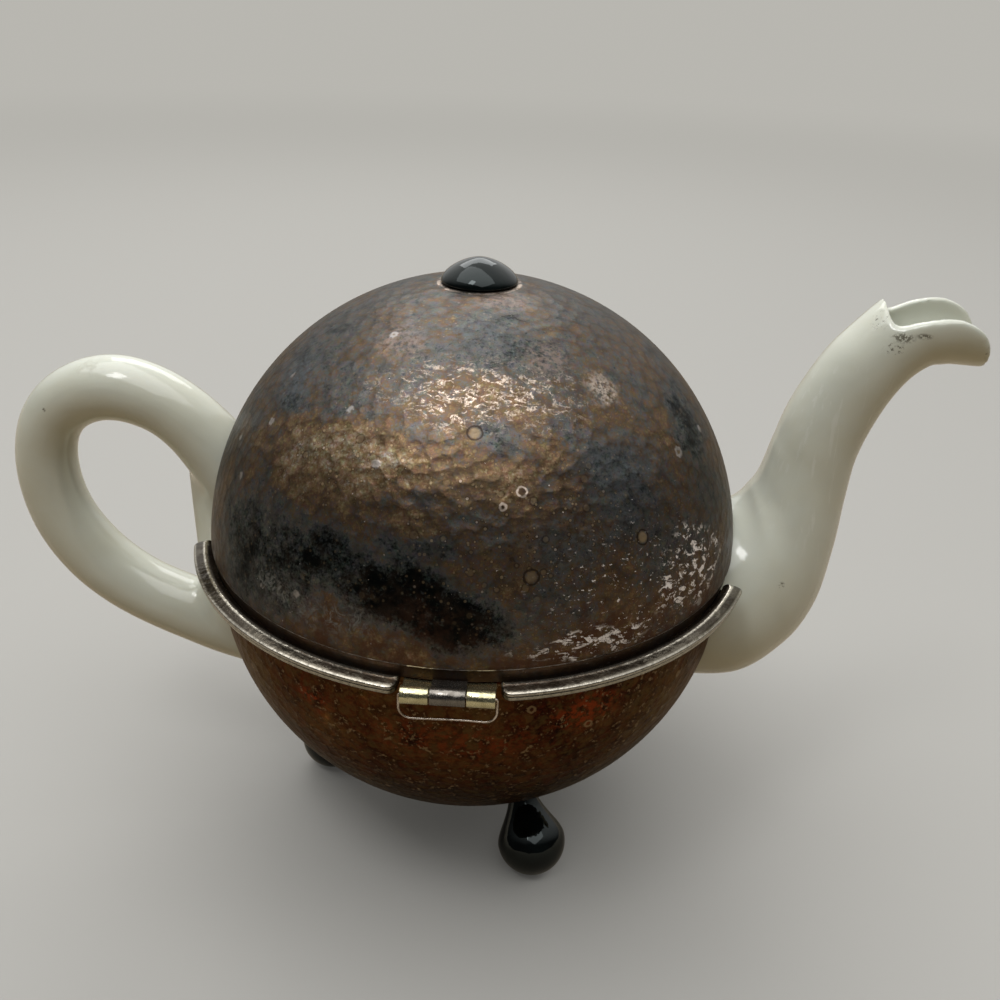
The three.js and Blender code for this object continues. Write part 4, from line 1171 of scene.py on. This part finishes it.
def buildFelts():
    shape = feltShape
    outer = shared["bowlRadius"] - shared["sheet"] - shared["gap"]
    inner = outer - shape["thickness"]
    edge = shared["seam"] - shape["setBack"]
    profile = [
        *arc(0, outer, -90, 0, shape["rows"]),
        *rounded([(outer, edge), (inner, edge)], 0.6)[0:5],
        (inner + 0.6, edge), (inner, edge - 0.6),
        *arc(0, inner, 0, -90, shape["rows"]),
    ]
    made = meshPiece("bowlLining", *lathe(profile, shape["around"]))
    cutBowlSlots(made, shape["setBack"])
    for degrees in feet["angles"].values():
        hole = turned(rod(feet["washerRadius"] + 0.6, 0, screwSeat + 7), footMatrix(degrees))
        cutAway(made, hole)
    dress(made, felt, "felt", "jacket_base", "bowl_felt")

    centre = shared["domeCentre"]
    outer = shared["domeRadius"] - shared["sheet"] - shared["gap"]
    inner = outer - shape["thickness"]
    edge = shared["seam"] + shape["setBack"]
    start = degreesAt(shared["collarTop"] + 1.8 - centre, outer)
    collar = shared["collarRadius"] - shared["sheet"] - shared["gap"]
    profile = [
        (collar, edge + 0.5),
        (collar, shared["collarTop"]),
        *arc(centre, outer, start, degreesOut(shape["screwHole"], outer), shape["rows"]),
        *arc(centre, inner, degreesOut(shape["screwHole"], inner), start, shape["rows"]),
        (inner - 0.1, edge + 0.6),
        (inner + 0.5, edge),
        (collar - 0.5, edge),
    ]
    made = meshPiece("domeLining", *lathe(profile, shape["around"]))
    cutDomeSlots(made, shape["setBack"])
    dress(made, felt, "felt", "dome", "dome_felt")


rims = {
    "radius": 69.2,
    "crestHeight": 8.45,
    "edge": 0.7,
    "bowlRadius": 68.9,
    "bowlThickness": 1.1,
    "spoutGap": 23.4,
    "handleGap": 16.0,
    "hingeGap": 10.29,
    "cornerRound": 2.4,
    "closeRings": (0, 0.03, 0.12, 0.3, 0.6, 1.0, 1.5, 2.0, 2.5, 3.2),
    "evenFrom": 4.2,
    "steps": 150,
}


def rimArc(name, profile, first, last, slotName, body, node):
    # first and last give the azimuth in degrees of each end at a radius
    innermost = min(radius for radius, height in profile)
    middleHeight = sum(height for radius, height in profile) / len(profile)
    points = []
    length = math.radians(last(rims["radius"]) - first(rims["radius"])) * rims["radius"]
    # Close rings at the ends, where the section narrows
    close, evenFrom = rims["closeRings"], rims["evenFrom"]
    places = [*close, *np.linspace(evenFrom, length - evenFrom, rims["steps"]), *(length - p for p in reversed(close))]
    for place in places:
        toEnd = min(place, length - place)
        corner = min(toEnd / rims["cornerRound"], 1.0)
        narrow = 0.35 + 0.65 * math.sqrt(max(0.0, 1 - (1 - corner) ** 2))
        flat = min(toEnd / 0.5, 1.0)
        thin = 0.55 + 0.45 * math.sqrt(max(0.0, 1 - (1 - flat) ** 2))
        for radius, height in profile:
            shaped = innermost + (radius - innermost) * narrow
            raised = middleHeight + (height - middleHeight) * thin
            low, high = first(shaped), last(shaped)
            angle = math.radians(low + (high - low) * place / length)
            points.append((shaped * math.cos(angle), shaped * math.sin(angle), raised))
    faces = sleeve(len(profile), len(places))
    if outlineArea(profile) > 0:
        faces = flipped(faces)
    made = meshPiece(name, points, faces, 50)
    return dress(made, nickelSilver, slotName, body, node)


def buildRims():
    inner = shared["collarRadius"] + shared["gap"]
    outer, crest, crestHeight = rims["radius"], shared["crestRadius"], rims["crestHeight"]
    upper = rounded([
        (inner, domeEdge, 0.1),
        (outer, domeEdge, 0.25),
        (outer, domeEdge + rims["edge"], 0.25),
        (outer - 0.9, domeEdge + rims["edge"] + 0.28, 0.3),
        (crest + 0.7, crestHeight - 0.12, 0.5),
        (crest + 0.05, crestHeight, 0.3),
        (crest - 0.6, crestHeight - 0.25, 0.4),
        (inner, crestHeight - 0.8, 0.2),
    ], 0.3, 3)
    bowlInner = shared["bowlRadius"] + shared["gap"]
    bowlOuter = rims["bowlRadius"]
    lower = rounded([
        (bowlInner, bowlEdge - rims["bowlThickness"], 0.1),
        (bowlOuter - 0.1, bowlEdge - rims["bowlThickness"], 0.45),
        (bowlOuter, bowlEdge, 0.3),
        (bowlInner, bowlEdge, 0.1),
    ], 0.3, 4)

    def beside(base, side, gap):
        # Azimuth in degrees where a rim stops, at this distance from the X or Y axis
        return lambda radius: base + side * math.degrees(math.asin(gap / radius))

    spoutGap, handleGap, hingeGap = rims["spoutGap"], rims["handleGap"], rims["hingeGap"]
    for kind, profile, body in (("dome", upper, "dome"), ("bowl", lower, "jacket_base")):
        for part, first, last in (
            ("back", beside(0, 1, spoutGap), beside(180, -1, handleGap)),
            ("left", beside(180, 1, handleGap), beside(270, -1, hingeGap)),
            ("right", beside(270, 1, hingeGap), beside(360, -1, spoutGap)),
        ):
            rimArc(f"{kind}Rim{part.capitalize()}", profile, first, last, "rim_metal", body, f"{kind}_rim_{part}")


hinge = {
    "barrelRadius": 1.85,
    "leafThickness": 0.6,
    "outerStart": 3.75,
    "outerEnd": 9.4,
    "middleEnd": 3.55,
    "boreRadius": 0.32,
    "chamfer": 0.16,
    "wireRadius": 0.22,
    "wireDrop": 5.7,
    "wireBend": 2.5,
    "wireWander": 0.10,
}


def alongHinge(shape):
    move = Matrix.Translation((0, -shared["hingeReach"], shared["hingeHeight"])) @ Matrix.Rotation(math.pi / 2, 4, "Y")
    return turned(shape, move)


def knuckle(start, end):
    radius, bore, chamfer = hinge["barrelRadius"], hinge["boreRadius"], hinge["chamfer"]
    profile = [
        (bore, start), (radius - chamfer, start), (radius - 0.4 * chamfer, start + 0.25 * chamfer),
        (radius, start + chamfer), (radius, (start + end) / 2), (radius, end - chamfer),
        (radius - 0.4 * chamfer, end - 0.25 * chamfer), (radius - chamfer, end), (bore, end),
    ]
    return alongHinge(lathe(profile, 64))


def leafPlate(name, ranges, low):
    # Rolled knuckles with their plate, and the slit where each roll closes on it
    reach, top = shared["hingeReach"], low + hinge["leafThickness"]
    pieces = []
    for start, end in ranges:
        made = meshPiece(name, *knuckle(start, end))
        plate = block((start + 0.02, -reach, low), (end - 0.02, -shared["bowlRadius"] + 2, top))
        combine(made, meshPiece("plate", *plate), "UNION", 30)
        slit = block((start - 1, -reach + 1.0, top + 0.02), (end + 1, -reach + 2.4, top + 0.02 + 0.18))
        cutAway(made, slit, 30)
        pieces.append(made)
    return pieces


def trimToWall(piece, radius):
    cutAway(piece, rod(radius + shared["gap"], -2, 20, 256), 30)


def buildHinge():
    outer = [(-hinge["outerEnd"], -hinge["outerStart"]), (hinge["outerStart"], hinge["outerEnd"])]
    low = bowlEdge - hinge["leafThickness"]
    whole, other = leafPlate("bowlLeaf", outer, low)
    combine(whole, other, "UNION", 30)
    bridge = block((-hinge["outerStart"] - 0.5, -shared["hingeReach"] + hinge["barrelRadius"] + 0.2, low),
                   (hinge["outerStart"] + 0.5, -shared["bowlRadius"] + 2, low + hinge["leafThickness"]))
    combine(whole, meshPiece("bridge", *bridge), "UNION", 30)
    trimToWall(whole, shared["bowlRadius"])
    dress(whole, brass, "hinge_brass", "jacket_base", "hinge_leaf_bowl")
    middle = leafPlate("domeLeaf", [(-hinge["middleEnd"], hinge["middleEnd"])], domeEdge)[0]
    trimToWall(middle, shared["collarRadius"])
    dress(middle, hingePlate, "rim_metal", "dome", "hinge_leaf_dome")


def buildWire():
    side = hinge["outerEnd"] + 0.15 + hinge["wireRadius"]
    topBend = 0.15 + hinge["wireRadius"]
    bend, drop = hinge["wireBend"], hinge["wireDrop"]
    line = [(0.5, 0.0), (4.0, 0.0), (side - topBend - 1.0, 0.0)]
    for x, z, radius, start in ((side - topBend, -topBend, topBend, 90), (side - bend, bend - drop, bend, 0)):
        angles = [math.radians(start - 90 * i / 10) for i in range(11)]
        line += [(x + radius * math.cos(a), z + radius * math.sin(a)) for a in angles]
    line += [(x, -drop) for x in (5.0, 2.5)]
    left = [(-x, z) for x, z in reversed(line)]
    whole = np.array(line + [(0, -drop)] + left)
    # The wire has been bent by hand: its lower run isn't quite straight
    whole[:, 1] += hinge["wireWander"] * np.sin(whole[:, 0] * 0.42 + 0.8) * np.clip(-whole[:, 1] / drop, 0, 1)
    curve = bpy.data.curves.new("wireLine", "CURVE")
    curve.dimensions = "3D"
    curve.bevel_depth = hinge["wireRadius"] / 1000
    curve.bevel_resolution = 5
    curve.use_fill_caps = True
    spline = curve.splines.new("POLY")
    spline.points.add(len(whole) - 1)
    base = np.array([0, -shared["hingeReach"], shared["hingeHeight"]])
    for point, (x, z) in zip(spline.points, whole):
        metres = (base + np.array([x, 0, z])) / 1000 + np.array(ballMetres)
        point.co = (*metres, 1)
    holder = addObject("hingeWire", curve)
    bpy.context.view_layer.update()
    mesh = bpy.data.meshes.new_from_object(holder.evaluated_get(bpy.context.evaluated_depsgraph_get()))
    bpy.data.objects.remove(holder)
    made = addObject("hingeWire", mesh)
    smoothShade(made, 60)
    return dress(made, wireSteel, "steel", "wire_loop", "hinge_wire")


knob = {
    "radius": 8.8,
    "height": 5.2,
    "fullness": 1.56,
    "screwRadius": 1.4,
    "screwDepth": 3.2,
    "washerRadius": 4.8,
    "washerThickness": 0.8,
}


def screwShape(seat, depth, up):
    # A slotted screw along Z: seat is the height under its head, up the side that the head is on
    radius, head, tall = feet["screwRadius"], feet["headRadius"], feet["headHeight"]
    dome = [(head * math.cos(a), seat + up * (0.45 * tall + 0.55 * tall * math.sin(a)))
            for a in map(math.radians, range(0, 90, 10))]
    return [(0, seat - up * depth), (radius - 0.2, seat - up * depth), (radius, seat - up * (depth - 0.3)),
            (radius, seat), (head - 0.1, seat), (head, seat + up * 0.12), *dome, (0, seat + up * tall)]


def buildKnob():
    centre = shared["domeCentre"]
    seat = shared["domeRadius"] + shared["gap"]
    hole = knob["screwRadius"] + shared["gap"]
    top = centre + shared["domeRadius"] + knob["height"]
    screwTop = centre + shared["domeRadius"] + knob["screwDepth"]
    under = arc(centre, seat, degreesOut(hole, seat), degreesOut(knob["radius"] - 0.35, seat), 12)
    base = under[-1][1] + 0.25
    bend = 2 / knob["fullness"]
    outline = [(knob["radius"] * math.cos(a) ** bend, base + (top - base) * math.sin(a) ** bend)
               for a in np.radians(range(0, 90, 2))]
    profile = [
        (0, screwTop + 0.3), (hole, screwTop + 0.3), *under,
        (knob["radius"] - 0.12, under[-1][1] + 0.06), *outline, (0, top),
    ]
    made = meshPiece("domeKnob", *lathe(profile, 128), 50)
    dress(made, blackGloss, "black_gloss", "dome", "dome_knob")
    inner = shared["domeRadius"] - shared["sheet"]
    washerTop = centre + math.sqrt(inner ** 2 - knob["washerRadius"] ** 2) - shared["gap"]
    headSeat = washerTop - knob["washerThickness"] - shared["gap"] / 2
    screw = meshPiece("knobScrew", *lathe(screwShape(headSeat, screwTop - headSeat, -1), 64), 40)
    slot = block((-4, -0.4, headSeat - 3), (4, 0.4, headSeat - feet["headHeight"] + 0.7))
    cutAway(screw, slot)
    dress(screw, steel, "steel", "dome", "knob_screw")


def buildFeet():
    neckTop = alongFootTo(shared["bowlRadius"]) + 4 * shared["gap"]
    radius = feet["bulbRadius"]
    bulb = arc(0, radius, -90, 0, 36)
    corners = np.array([
        (radius, 0),
        (radius, feet["fullness"] * radius),
        (feet["neckRadius"], neckTop - feet["waist"] * radius),
        (feet["neckRadius"], neckTop),
    ])
    taper = [tuple(np.array([(1 - t) ** 3, 3 * t * (1 - t) ** 2, 3 * t * t * (1 - t), t ** 3]) @ corners)
             for t in np.linspace(0, 1, 28)[1:]]
    for where, degrees in feet["angles"].items():
        place = footMatrix(degrees)
        made = meshPiece("foot", *turned(lathe([*bulb, *taper, (0, neckTop)], 96), place), 50)
        hole = rod(feet["screwRadius"] + shared["gap"], screwSeat - feet["screwDepth"] - 0.6, neckTop + 1)
        cutAway(made, turned(hole, place), 50)
        ball = lathe(arc(0, shared["bowlRadius"] + shared["gap"], -90, 90, 96), 192)
        cutAway(made, ball, 50)
        ground = block((-90, -90, -90), (90, 90, -feet["floorDepth"]))
        cutAway(made, ground, 50)
        title = where.title().replace("_", "")
        made.name = f"foot{title}"
        dress(made, blackGloss, "black_gloss", "jacket_base", f"foot_{where}")
        seat = screwSeat + shared["gap"] / 2
        shape = lathe(screwShape(seat, feet["screwDepth"], 1), 64)
        screw = meshPiece(f"footScrew{title}", *turned(shape, place), 40)
        slot = block((-4, -0.4, seat + feet["headHeight"] - 0.7), (4, 0.4, seat + 3))
        cutAway(screw, turned(slot, place))
        dress(screw, steel, "steel", "jacket_base", f"foot_screw_{where}")


pot = {
    "radius": 57.5,
    "shoulder": 47.0,
    "wall": 3.8,
    "footRadius": 26.0,
    "footWidth": 3.0,
    "footHeight": 2.2,
    "sole": -52.16,
    "floor": 4.2,
    "mouth": 24.2,
    "gallery": 27.4,
    "gallerySeat": 41.5,
    "neckTop": 43.5,
    "neckWall": 2.2,
    "strainerHole": 2.2,
    "strainerPitch": 7.0,
    "around": 160,
}


def shoulderArc(grow, startRadius, endRadius, steps):
    a, b = pot["radius"] + grow, pot["shoulder"] + grow
    start, end = math.acos(min(1.0, startRadius / a)), math.acos(min(1.0, endRadius / a))
    angles = [start + (end - start) * i / steps for i in range(steps + 1)]
    return [(a * math.cos(angle), b * math.sin(angle)) for angle in angles]


def potEnvelope(grow):
    radius = pot["radius"] + grow
    shoulder = shoulderArc(grow, radius, 0.001, 48)[1:-1]
    return lathe([*arc(0, radius, -90, 0, 48), *shoulder, (0, pot["shoulder"] + grow)], pot["around"])


def buildPotBody():
    sole, foot, footInner = pot["sole"], pot["footRadius"], pot["footRadius"] - pot["footWidth"]
    underside = sole + pot["footHeight"]
    floor = underside + pot["floor"]
    radius, inner = pot["radius"], pot["radius"] - pot["wall"]
    gallery, seat, mouth, top = pot["gallery"], pot["gallerySeat"], pot["mouth"], pot["neckTop"]
    neck = gallery + pot["neckWall"]
    profile = [
        (0, underside), (footInner - 0.8, underside), (footInner - 0.1, sole + 0.4), (footInner + 0.4, sole),
        (foot - 0.5, sole), (foot, sole + 0.5), (foot + 0.6, underside),
        *arc(0, radius, degreesAt(underside + 0.6, radius), 0, 40),
        *shoulderArc(0, radius, neck, 36)[1:],
        (neck - 0.15, top - 0.8), (neck - 0.5, top - 0.2), (neck - 1.0, top),
        (gallery + 0.4, top), (gallery, top - 0.3), (gallery, seat + 0.3), (gallery - 0.3, seat),
        (mouth + 0.3, seat), (mouth, seat - 0.3),
        *shoulderArc(-pot["wall"], mouth, inner, 32)[1:],
        *arc(0, inner, 0, degreesAt(floor + 1.5, inner), 32)[1:],
        (inner * 0.42, floor), (0, floor),
    ]
    made = meshPiece("potBody", *lathe(profile, pot["around"]), 50)
    # Strainer holes behind the spout: one in the middle and six round it
    for i in range(-1, 6):
        angle = 2 * math.pi * i / 6
        reach = 0 if i < 0 else pot["strainerPitch"]
        middle = (0, reach * math.cos(angle), slots["spoutHeight"] + reach * math.sin(angle))
        move = Matrix.Translation(middle) @ Matrix.Rotation(math.pi / 2, 4, "Y")
        cutAway(made, turned(rod(pot["strainerHole"], 34, 69, 40), move), 50)
    return dress(made, porcelain, "porcelain", "jacket_base", "pot_body")


spout = {
    "wall": 2.4,
    "beakTurn": -7.0,
    "faceSize": 0.45,
    "smoothing": 14,
    "extraSmoothing": 70,
    "beakCorner": (91.0, 70.5),
    "root": (71.0, 27.0),
    "sections": [
        # x, z, heading in degrees, height, width
        (44, -6.9, 0, 45.8, 44), (66.2, -6.3, 4, 45.8, 44), (75.6, 1.6, 17.5, 43.4, 38), (79.3, 9, 27.3, 38.6, 32),
        (80.9, 18.75, 38, 31, 27), (81.75, 28.75, 50, 24.3, 23), (83, 38.25, 57, 20.9, 21),
        (85.25, 45.3, 57, 19.9, 20), (89, 53.45, 54, 19, 19.4), (93.4, 59.6, 48, 18.2, 18.8),
        (97.6, 63.8, 40, 18.8, 19.4), (101.4, 66.2, 23, 20.4, 20.4), (107.2, 67.4, 6, 20.6, 20.6),
        (113.2, 66.3, -6, 18.8, 20), (119, 65, -10, 17, 19),
    ],
    "beakLine": [
        (91.2, 84), (91.7, 70.6), (92.6, 68.2), (93.8, 66.9), (96, 67.4), (98.6, 68.4), (102, 69.3), (105.5, 69.7),
        (108.5, 69.1), (111.2, 67.8), (113.1, 66), (114.4, 63.7), (115.1, 61), (115.4, 58.6), (115.6, 50),
    ],
}


def sweep(sections, steps):
    rows = np.array(sections, float)
    sizes = np.pad(rows[:, 3:], ((0, 0), (0, 1)))
    return np.hstack([smoothCurve(rows[:, :3], steps), smoothCurve(sizes, steps)[:, :2]])


def buildSpout():
    sections = spout["sections"]
    made = meshPiece("potSpout", *loft(sweep(sections, 150), 96))
    x, z, heading, height, width = sections[-1]
    turn = math.radians(heading)
    beyond = (x + 4 * math.cos(turn), z + 4 * math.sin(turn), heading, height, width)
    bore = sweep([*sections, beyond], 150)
    bore[:, 3:] -= 2 * spout["wall"]
    cutAway(made, loft(bore, 80))
    line = [tuple(p[:2]) for p in smoothCurve([(a, b, 0) for a, b in spout["beakLine"][1:]], 90)]
    outline = [spout["beakLine"][0], *line, (126, 50), (126, 84)]
    middle = spout["beakLine"][7][0]
    askew = (Matrix.Translation((middle, 0, 0)) @ Matrix.Rotation(math.radians(spout["beakTurn"]), 4, "Z")
             @ Matrix.Translation((-middle, 0, 0)))
    cutAway(made, turned(prism(outline, -30, 30, "y"), askew))
    cutAway(made, potEnvelope(shared["gap"]))

    def cornerAndRoot(places):
        corner, root = (np.hypot(places[:, 0] - x, places[:, 2] - z) for x, z in (spout["beakCorner"], spout["root"]))
        return np.clip(np.maximum(1.6 - corner / 3.0, 1.8 - root / 9.0), 0, 1)

    remeshed(made, spout["faceSize"], spout["smoothing"], cornerAndRoot, spout["extraSmoothing"])
    return dress(made, porcelain, "porcelain", "jacket_base", "pot_spout")


handle = {
    "webFace": -73.2,
    "webHalfWidth": 9.0,
    "webReach": 24.0,
    "webTaper": 8.0,
    "faceSize": 0.6,
    "smoothing": 12,
    "filletRounds": 240,
    "joinFrom": -86,
    "sections": [
        # x, z, thickness
        (-38, -30.5, 22), (-62, -27.5, 18.6), (-75.7, -23.9, 16.6), (-90.9, -16.8, 16.3), (-97.6, -10.7, 16.4),
        (-103.7, -3.5, 16.2), (-107.3, 3.6, 15.5), (-109.2, 11.6, 15.1), (-109.5, 19.5, 14.8), (-108.3, 26.3, 14.5),
        (-105.6, 32.6, 14.5), (-100.8, 37.4, 15.1), (-93.6, 40.6, 16), (-87.4, 41.1, 16.3), (-81.5, 39.5, 16.2),
        (-75.1, 36.7, 15.6), (-69.4, 31.6, 16), (-64.3, 24.4, 17.4), (-57, 14, 20),
    ],
}


def buildHandle():
    # Each section is eased towards its neighbours, so that the bend has no flat places
    rows = np.array(handle["sections"], float)
    rows[2:-2] = 0.5 * rows[2:-2] + 0.25 * (rows[1:-3] + rows[3:-1])
    middles = np.array([(x, 0, z) for x, z, size in rows], float)
    fine = smoothCurve(middles, 1000 * (len(rows) - 1))
    sections = []
    for i, (x, z, size) in enumerate(rows):
        before, after = fine[max(0, i * 1000 - 2)], fine[min(len(fine) - 1, i * 1000 + 2)]
        heading = math.degrees(math.atan2(after[2] - before[2], after[0] - before[0]))
        sections.append((x, z, heading + 360 if heading < -90 else heading, size, size))
    made = meshPiece("potHandle", *loft(sweep(sections, 200), 72))
    face, half, reach = handle["webFace"], handle["webHalfWidth"], handle["webReach"]
    side = [(-pot["radius"] + 12, -half - 3), (face + 9, -half)]
    nose = [((1 - t) ** 2 * (face + 9) + 2 * t * (1 - t) * face + t ** 2 * face, -half + half * (2 * t - t ** 2))
            for t in np.linspace(0, 1, 12)[1:]]
    lower = side + nose
    outline = lower + [(x, -y) for x, y in reversed(lower[:-1])]
    # It narrows towards its upper end, which the arm covers
    levels = ((-reach, 1.0), (handle["webTaper"], 1.0), (0.5 * (handle["webTaper"] + reach), 0.82), (reach, 0.45))
    web = stacked([[(x, y * share, z) for x, y in outline] for z, share in levels])
    combine(made, meshPiece("web", *web), "UNION")
    cutAway(made, potEnvelope(shared["gap"]))

    def nearJoin(places):
        squashed = places * np.where(places[:, 2:] > 0, (1, 1, pot["radius"] / pot["shoulder"]), (1, 1, 1))
        offPot = np.clip((np.linalg.norm(squashed, axis=1) - pot["radius"] - 0.8) / 1.5, 0, 1)
        return np.clip((places[:, 0] - handle["joinFrom"]) / 6, 0, 1) * offPot

    remeshed(made, handle["faceSize"], handle["smoothing"], nearJoin, handle["filletRounds"])
    return dress(made, porcelain, "porcelain", "jacket_base", "pot_handle")


lid = {
    "seat": 41.8,
    "edgeRadius": 26.9,
    "edgeTop": 43.8,
    "skirt": 23.7,
    "skirtWall": 2.6,
    "skirtDepth": 5.3,
    "rise": 5.2,
    "knobRadius": 6.8,
    "knobHeight": 8.6,
    "knobNeck": 4.2,
    "wall": 3.4,
    "steamHole": 1.2,
    "steamReach": 15.0,
}


def buildLid():
    seat, edge, top, rise = lid["seat"], lid["edgeRadius"], lid["edgeTop"], lid["rise"]
    foot, knobRadius, neck = top + rise, lid["knobRadius"], lid["knobNeck"]
    knobTop = foot + lid["knobHeight"]
    middle = knobTop - knobRadius * 0.62
    crown = smoothCurve([
        (edge - 0.5, top, 0), (0.8 * edge, top + 0.42 * rise, 0), (0.5 * edge, top + 0.8 * rise, 0),
        (neck + 1.2, foot - 0.1, 0), (neck, foot + 1.2, 0), (knobRadius - 0.9, middle - 1.8, 0),
        (knobRadius, middle, 0), (knobRadius - 0.9, middle + 2, 0), (knobRadius * 0.5, knobTop - 0.6, 0),
        (0, knobTop, 0),
    ], 90)[:, :2]
    skirt, under, low = lid["skirt"], foot - lid["wall"], seat - lid["skirtDepth"]
    bore = skirt - lid["skirtWall"]
    profile = [
        (0, under), (0.3 * skirt, under - 0.3), (0.6 * skirt, under - 1.2), (bore - 1, seat + 0.9), (bore, seat - 0.2),
        (bore, low + 0.3), (bore + 0.3, low), (skirt - 0.6, low), (skirt - 0.3, low + 0.3), (skirt, seat - 0.1),
        (skirt + 0.1, seat), (edge - 0.3, seat), (edge, seat + 0.3), (edge, top - 0.5), (edge - 0.15, top - 0.15),
        *[tuple(p) for p in crown[:-1]], (0, knobTop),
    ]
    made = meshPiece("potLid", *lathe(profile, 128), 50)
    hole = turned(rod(lid["steamHole"], 20, 70, 40), Matrix.Translation((-lid["steamReach"], 0, 0)))
    cutAway(made, hole, 50)
    return dress(made, porcelain, "porcelain", "lid", "pot_lid")


buildDome()
buildBowl()
print("jacket made")
buildFelts()
buildRims()
buildHinge()
buildWire()
print("linings, rims and hinge made")
buildKnob()
buildFeet()
buildPotBody()
buildLid()
print("knob, feet, pot and lid made")
buildSpout()
buildHandle()
print("spout and handle made")

# Solids that stay as they are: the washers
for name in ("knob_inner_washer", "foot_washer_front", "foot_washer_back", "foot_washer_handle_side"):
    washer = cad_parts[name]
    washer.data.materials.clear()
    washer.data.materials.append(steel)


# Stage: a plain pale floor, soft lights and the camera
stage = {
    "floorNear": (0.365, 0.357, 0.338),
    "floorFar": (0.435, 0.425, 0.397),
    "floorBounce": (0.250, 0.185, 0.100),
    "floorGlow": 0.08,
    "floorInMetal": 0.45,
    "backColour": (0.482, 0.471, 0.436),
    "roomDark": (0.040, 0.041, 0.042),
    "roomPale": (1.100, 1.100, 1.080),
    "floorRadius": 30000,
    "toneMetres": (0.2, 2.2),
    "fadeMetres": (0.45, 2.0),
    "paleTowards": (0.55, 0.83),
    "paleFrom": 0.1,
    "paleTo": 0.9,
    "aimMetres": (0, 0, 0.08),
}
# Place, width and height in metres, and watts
lights = {
    "softbox": ((-0.12, -0.15, 1.25), 1.8, 1.1, 10.5),
    "window": ((-0.30, -0.42, 1.10), 0.24, 0.34, 1.7),
    "skylight": ((-0.10, 0.95, 0.95), 0.9, 0.5, 4.0),
}
# The place in millimetres about the ball's centre, and the directions of its own axes
camera = {
    "focalLength": 36.0,
    "sensorWidth": 36.0,
    "place": (14.19694707, -224.16963402, 132.40513877),
    "right": (0.99817897, 0.05121416, 0.03187235),
    "up": (-0.05195736, 0.46152028, 0.88560683),
    "forward": (-0.03064587, 0.88565012, -0.4633408),
}


def buildFloor():
    top, radius = -feet["floorDepth"], stage["floorRadius"]
    made = meshPiece("floor", *lathe([(0, top), (radius, top), (radius, top - 0.1), (0, top - 0.1)], 96))
    material = bpy.data.materials.new("floor")
    material.use_nodes = True
    tree = material.node_tree
    shader = tree.nodes["Principled BSDF"].inputs
    # Seen pale, while the light that it sends on to matt surfaces is warmer
    rays = newNode("ShaderNodeLightPath", tree=tree).outputs
    seen = larger(rays["Is Camera Ray"], times(rays["Is Glossy Ray"], stage["floorInMetal"]))
    away = vectorCalc("LENGTH", newNode("ShaderNodeTexCoord", tree=tree).outputs["Object"])
    # Painted shade: the floor is darker near the object and paler far off, against the lamps' pool of light
    plain = blend(spread(away, *stage["toneMetres"]), stage["floorNear"], stage["floorFar"])
    fading = spread(away, *stage["fadeMetres"])
    feed(shader["Base Color"], blend(seen, stage["floorBounce"], blend(fading, plain, (0, 0, 0))))
    feed(shader["Emission Color"], stage["backColour"])
    feed(shader["Emission Strength"], times(seen, lerp(fading, stage["floorGlow"], 1.0)))
    feed(shader["Roughness"], 1.0)
    feed(shader["Specular IOR Level"], 0.0)
    made.data.materials.append(material)


def buildWorld():
    world = bpy.data.worlds.new("room")
    bpy.context.scene.world = world
    world.use_nodes = True
    tree = world.node_tree
    tree.nodes.clear()
    seen = newNode("ShaderNodeBackground", {"Color": stage["backColour"]}, tree)
    # The room that lights and mirrors is dark in front of the object, pale above and behind it
    direction = newNode("ShaderNodeTexCoord", tree=tree).outputs["Generated"]
    towards = newNode("ShaderNodeSeparateXYZ", {"Vector": direction}).outputs
    backShare, upShare = stage["paleTowards"]
    leaning = scaledPlus(towards["Y"], backShare, times(towards["Z"], upShare))
    pale = spread(leaning, stage["paleFrom"], stage["paleTo"])
    lighting = newNode("ShaderNodeBackground", {"Color": blend(pale, stage["roomDark"], stage["roomPale"])})
    direct = newNode("ShaderNodeLightPath", tree=tree).outputs["Is Camera Ray"]
    mixed = newNode("ShaderNodeMixShader", {0: direct, 1: lighting.outputs[0], 2: seen.outputs[0]})
    newNode("ShaderNodeOutputWorld", {"Surface": mixed.outputs[0]})


def areaLight(name, place, width, height, watts):
    lamp = bpy.data.lights.new(name, "AREA")
    lamp.shape = "RECTANGLE"
    lamp.size, lamp.size_y = width, height
    lamp.energy = watts
    holder = addObject(name, lamp)
    holder.location = place
    towards = Vector(stage["aimMetres"]) - Vector(place)
    holder.rotation_euler = towards.to_track_quat("-Z", "Y").to_euler()


def buildCamera():
    lens = bpy.data.cameras.new("camera")
    lens.lens = camera["focalLength"]
    lens.sensor_width = camera["sensorWidth"]
    lens.clip_start = 0.01
    holder = addObject("camera", lens)
    right, up, forward = (Vector(camera[axis]) for axis in ("right", "up", "forward"))
    place = Vector(camera["place"]) / 1000 + ballMetres
    holder.matrix_world = Matrix((
        (right.x, up.x, -forward.x, place.x),
        (right.y, up.y, -forward.y, place.y),
        (right.z, up.z, -forward.z, place.z),
        (0, 0, 0, 1),
    ))
    bpy.context.scene.camera = holder


buildFloor()
buildWorld()
for name, row in lights.items():
    areaLight(name, *row)
buildCamera()
bpy.context.scene.view_settings.view_transform = "Standard"
print("stage made")
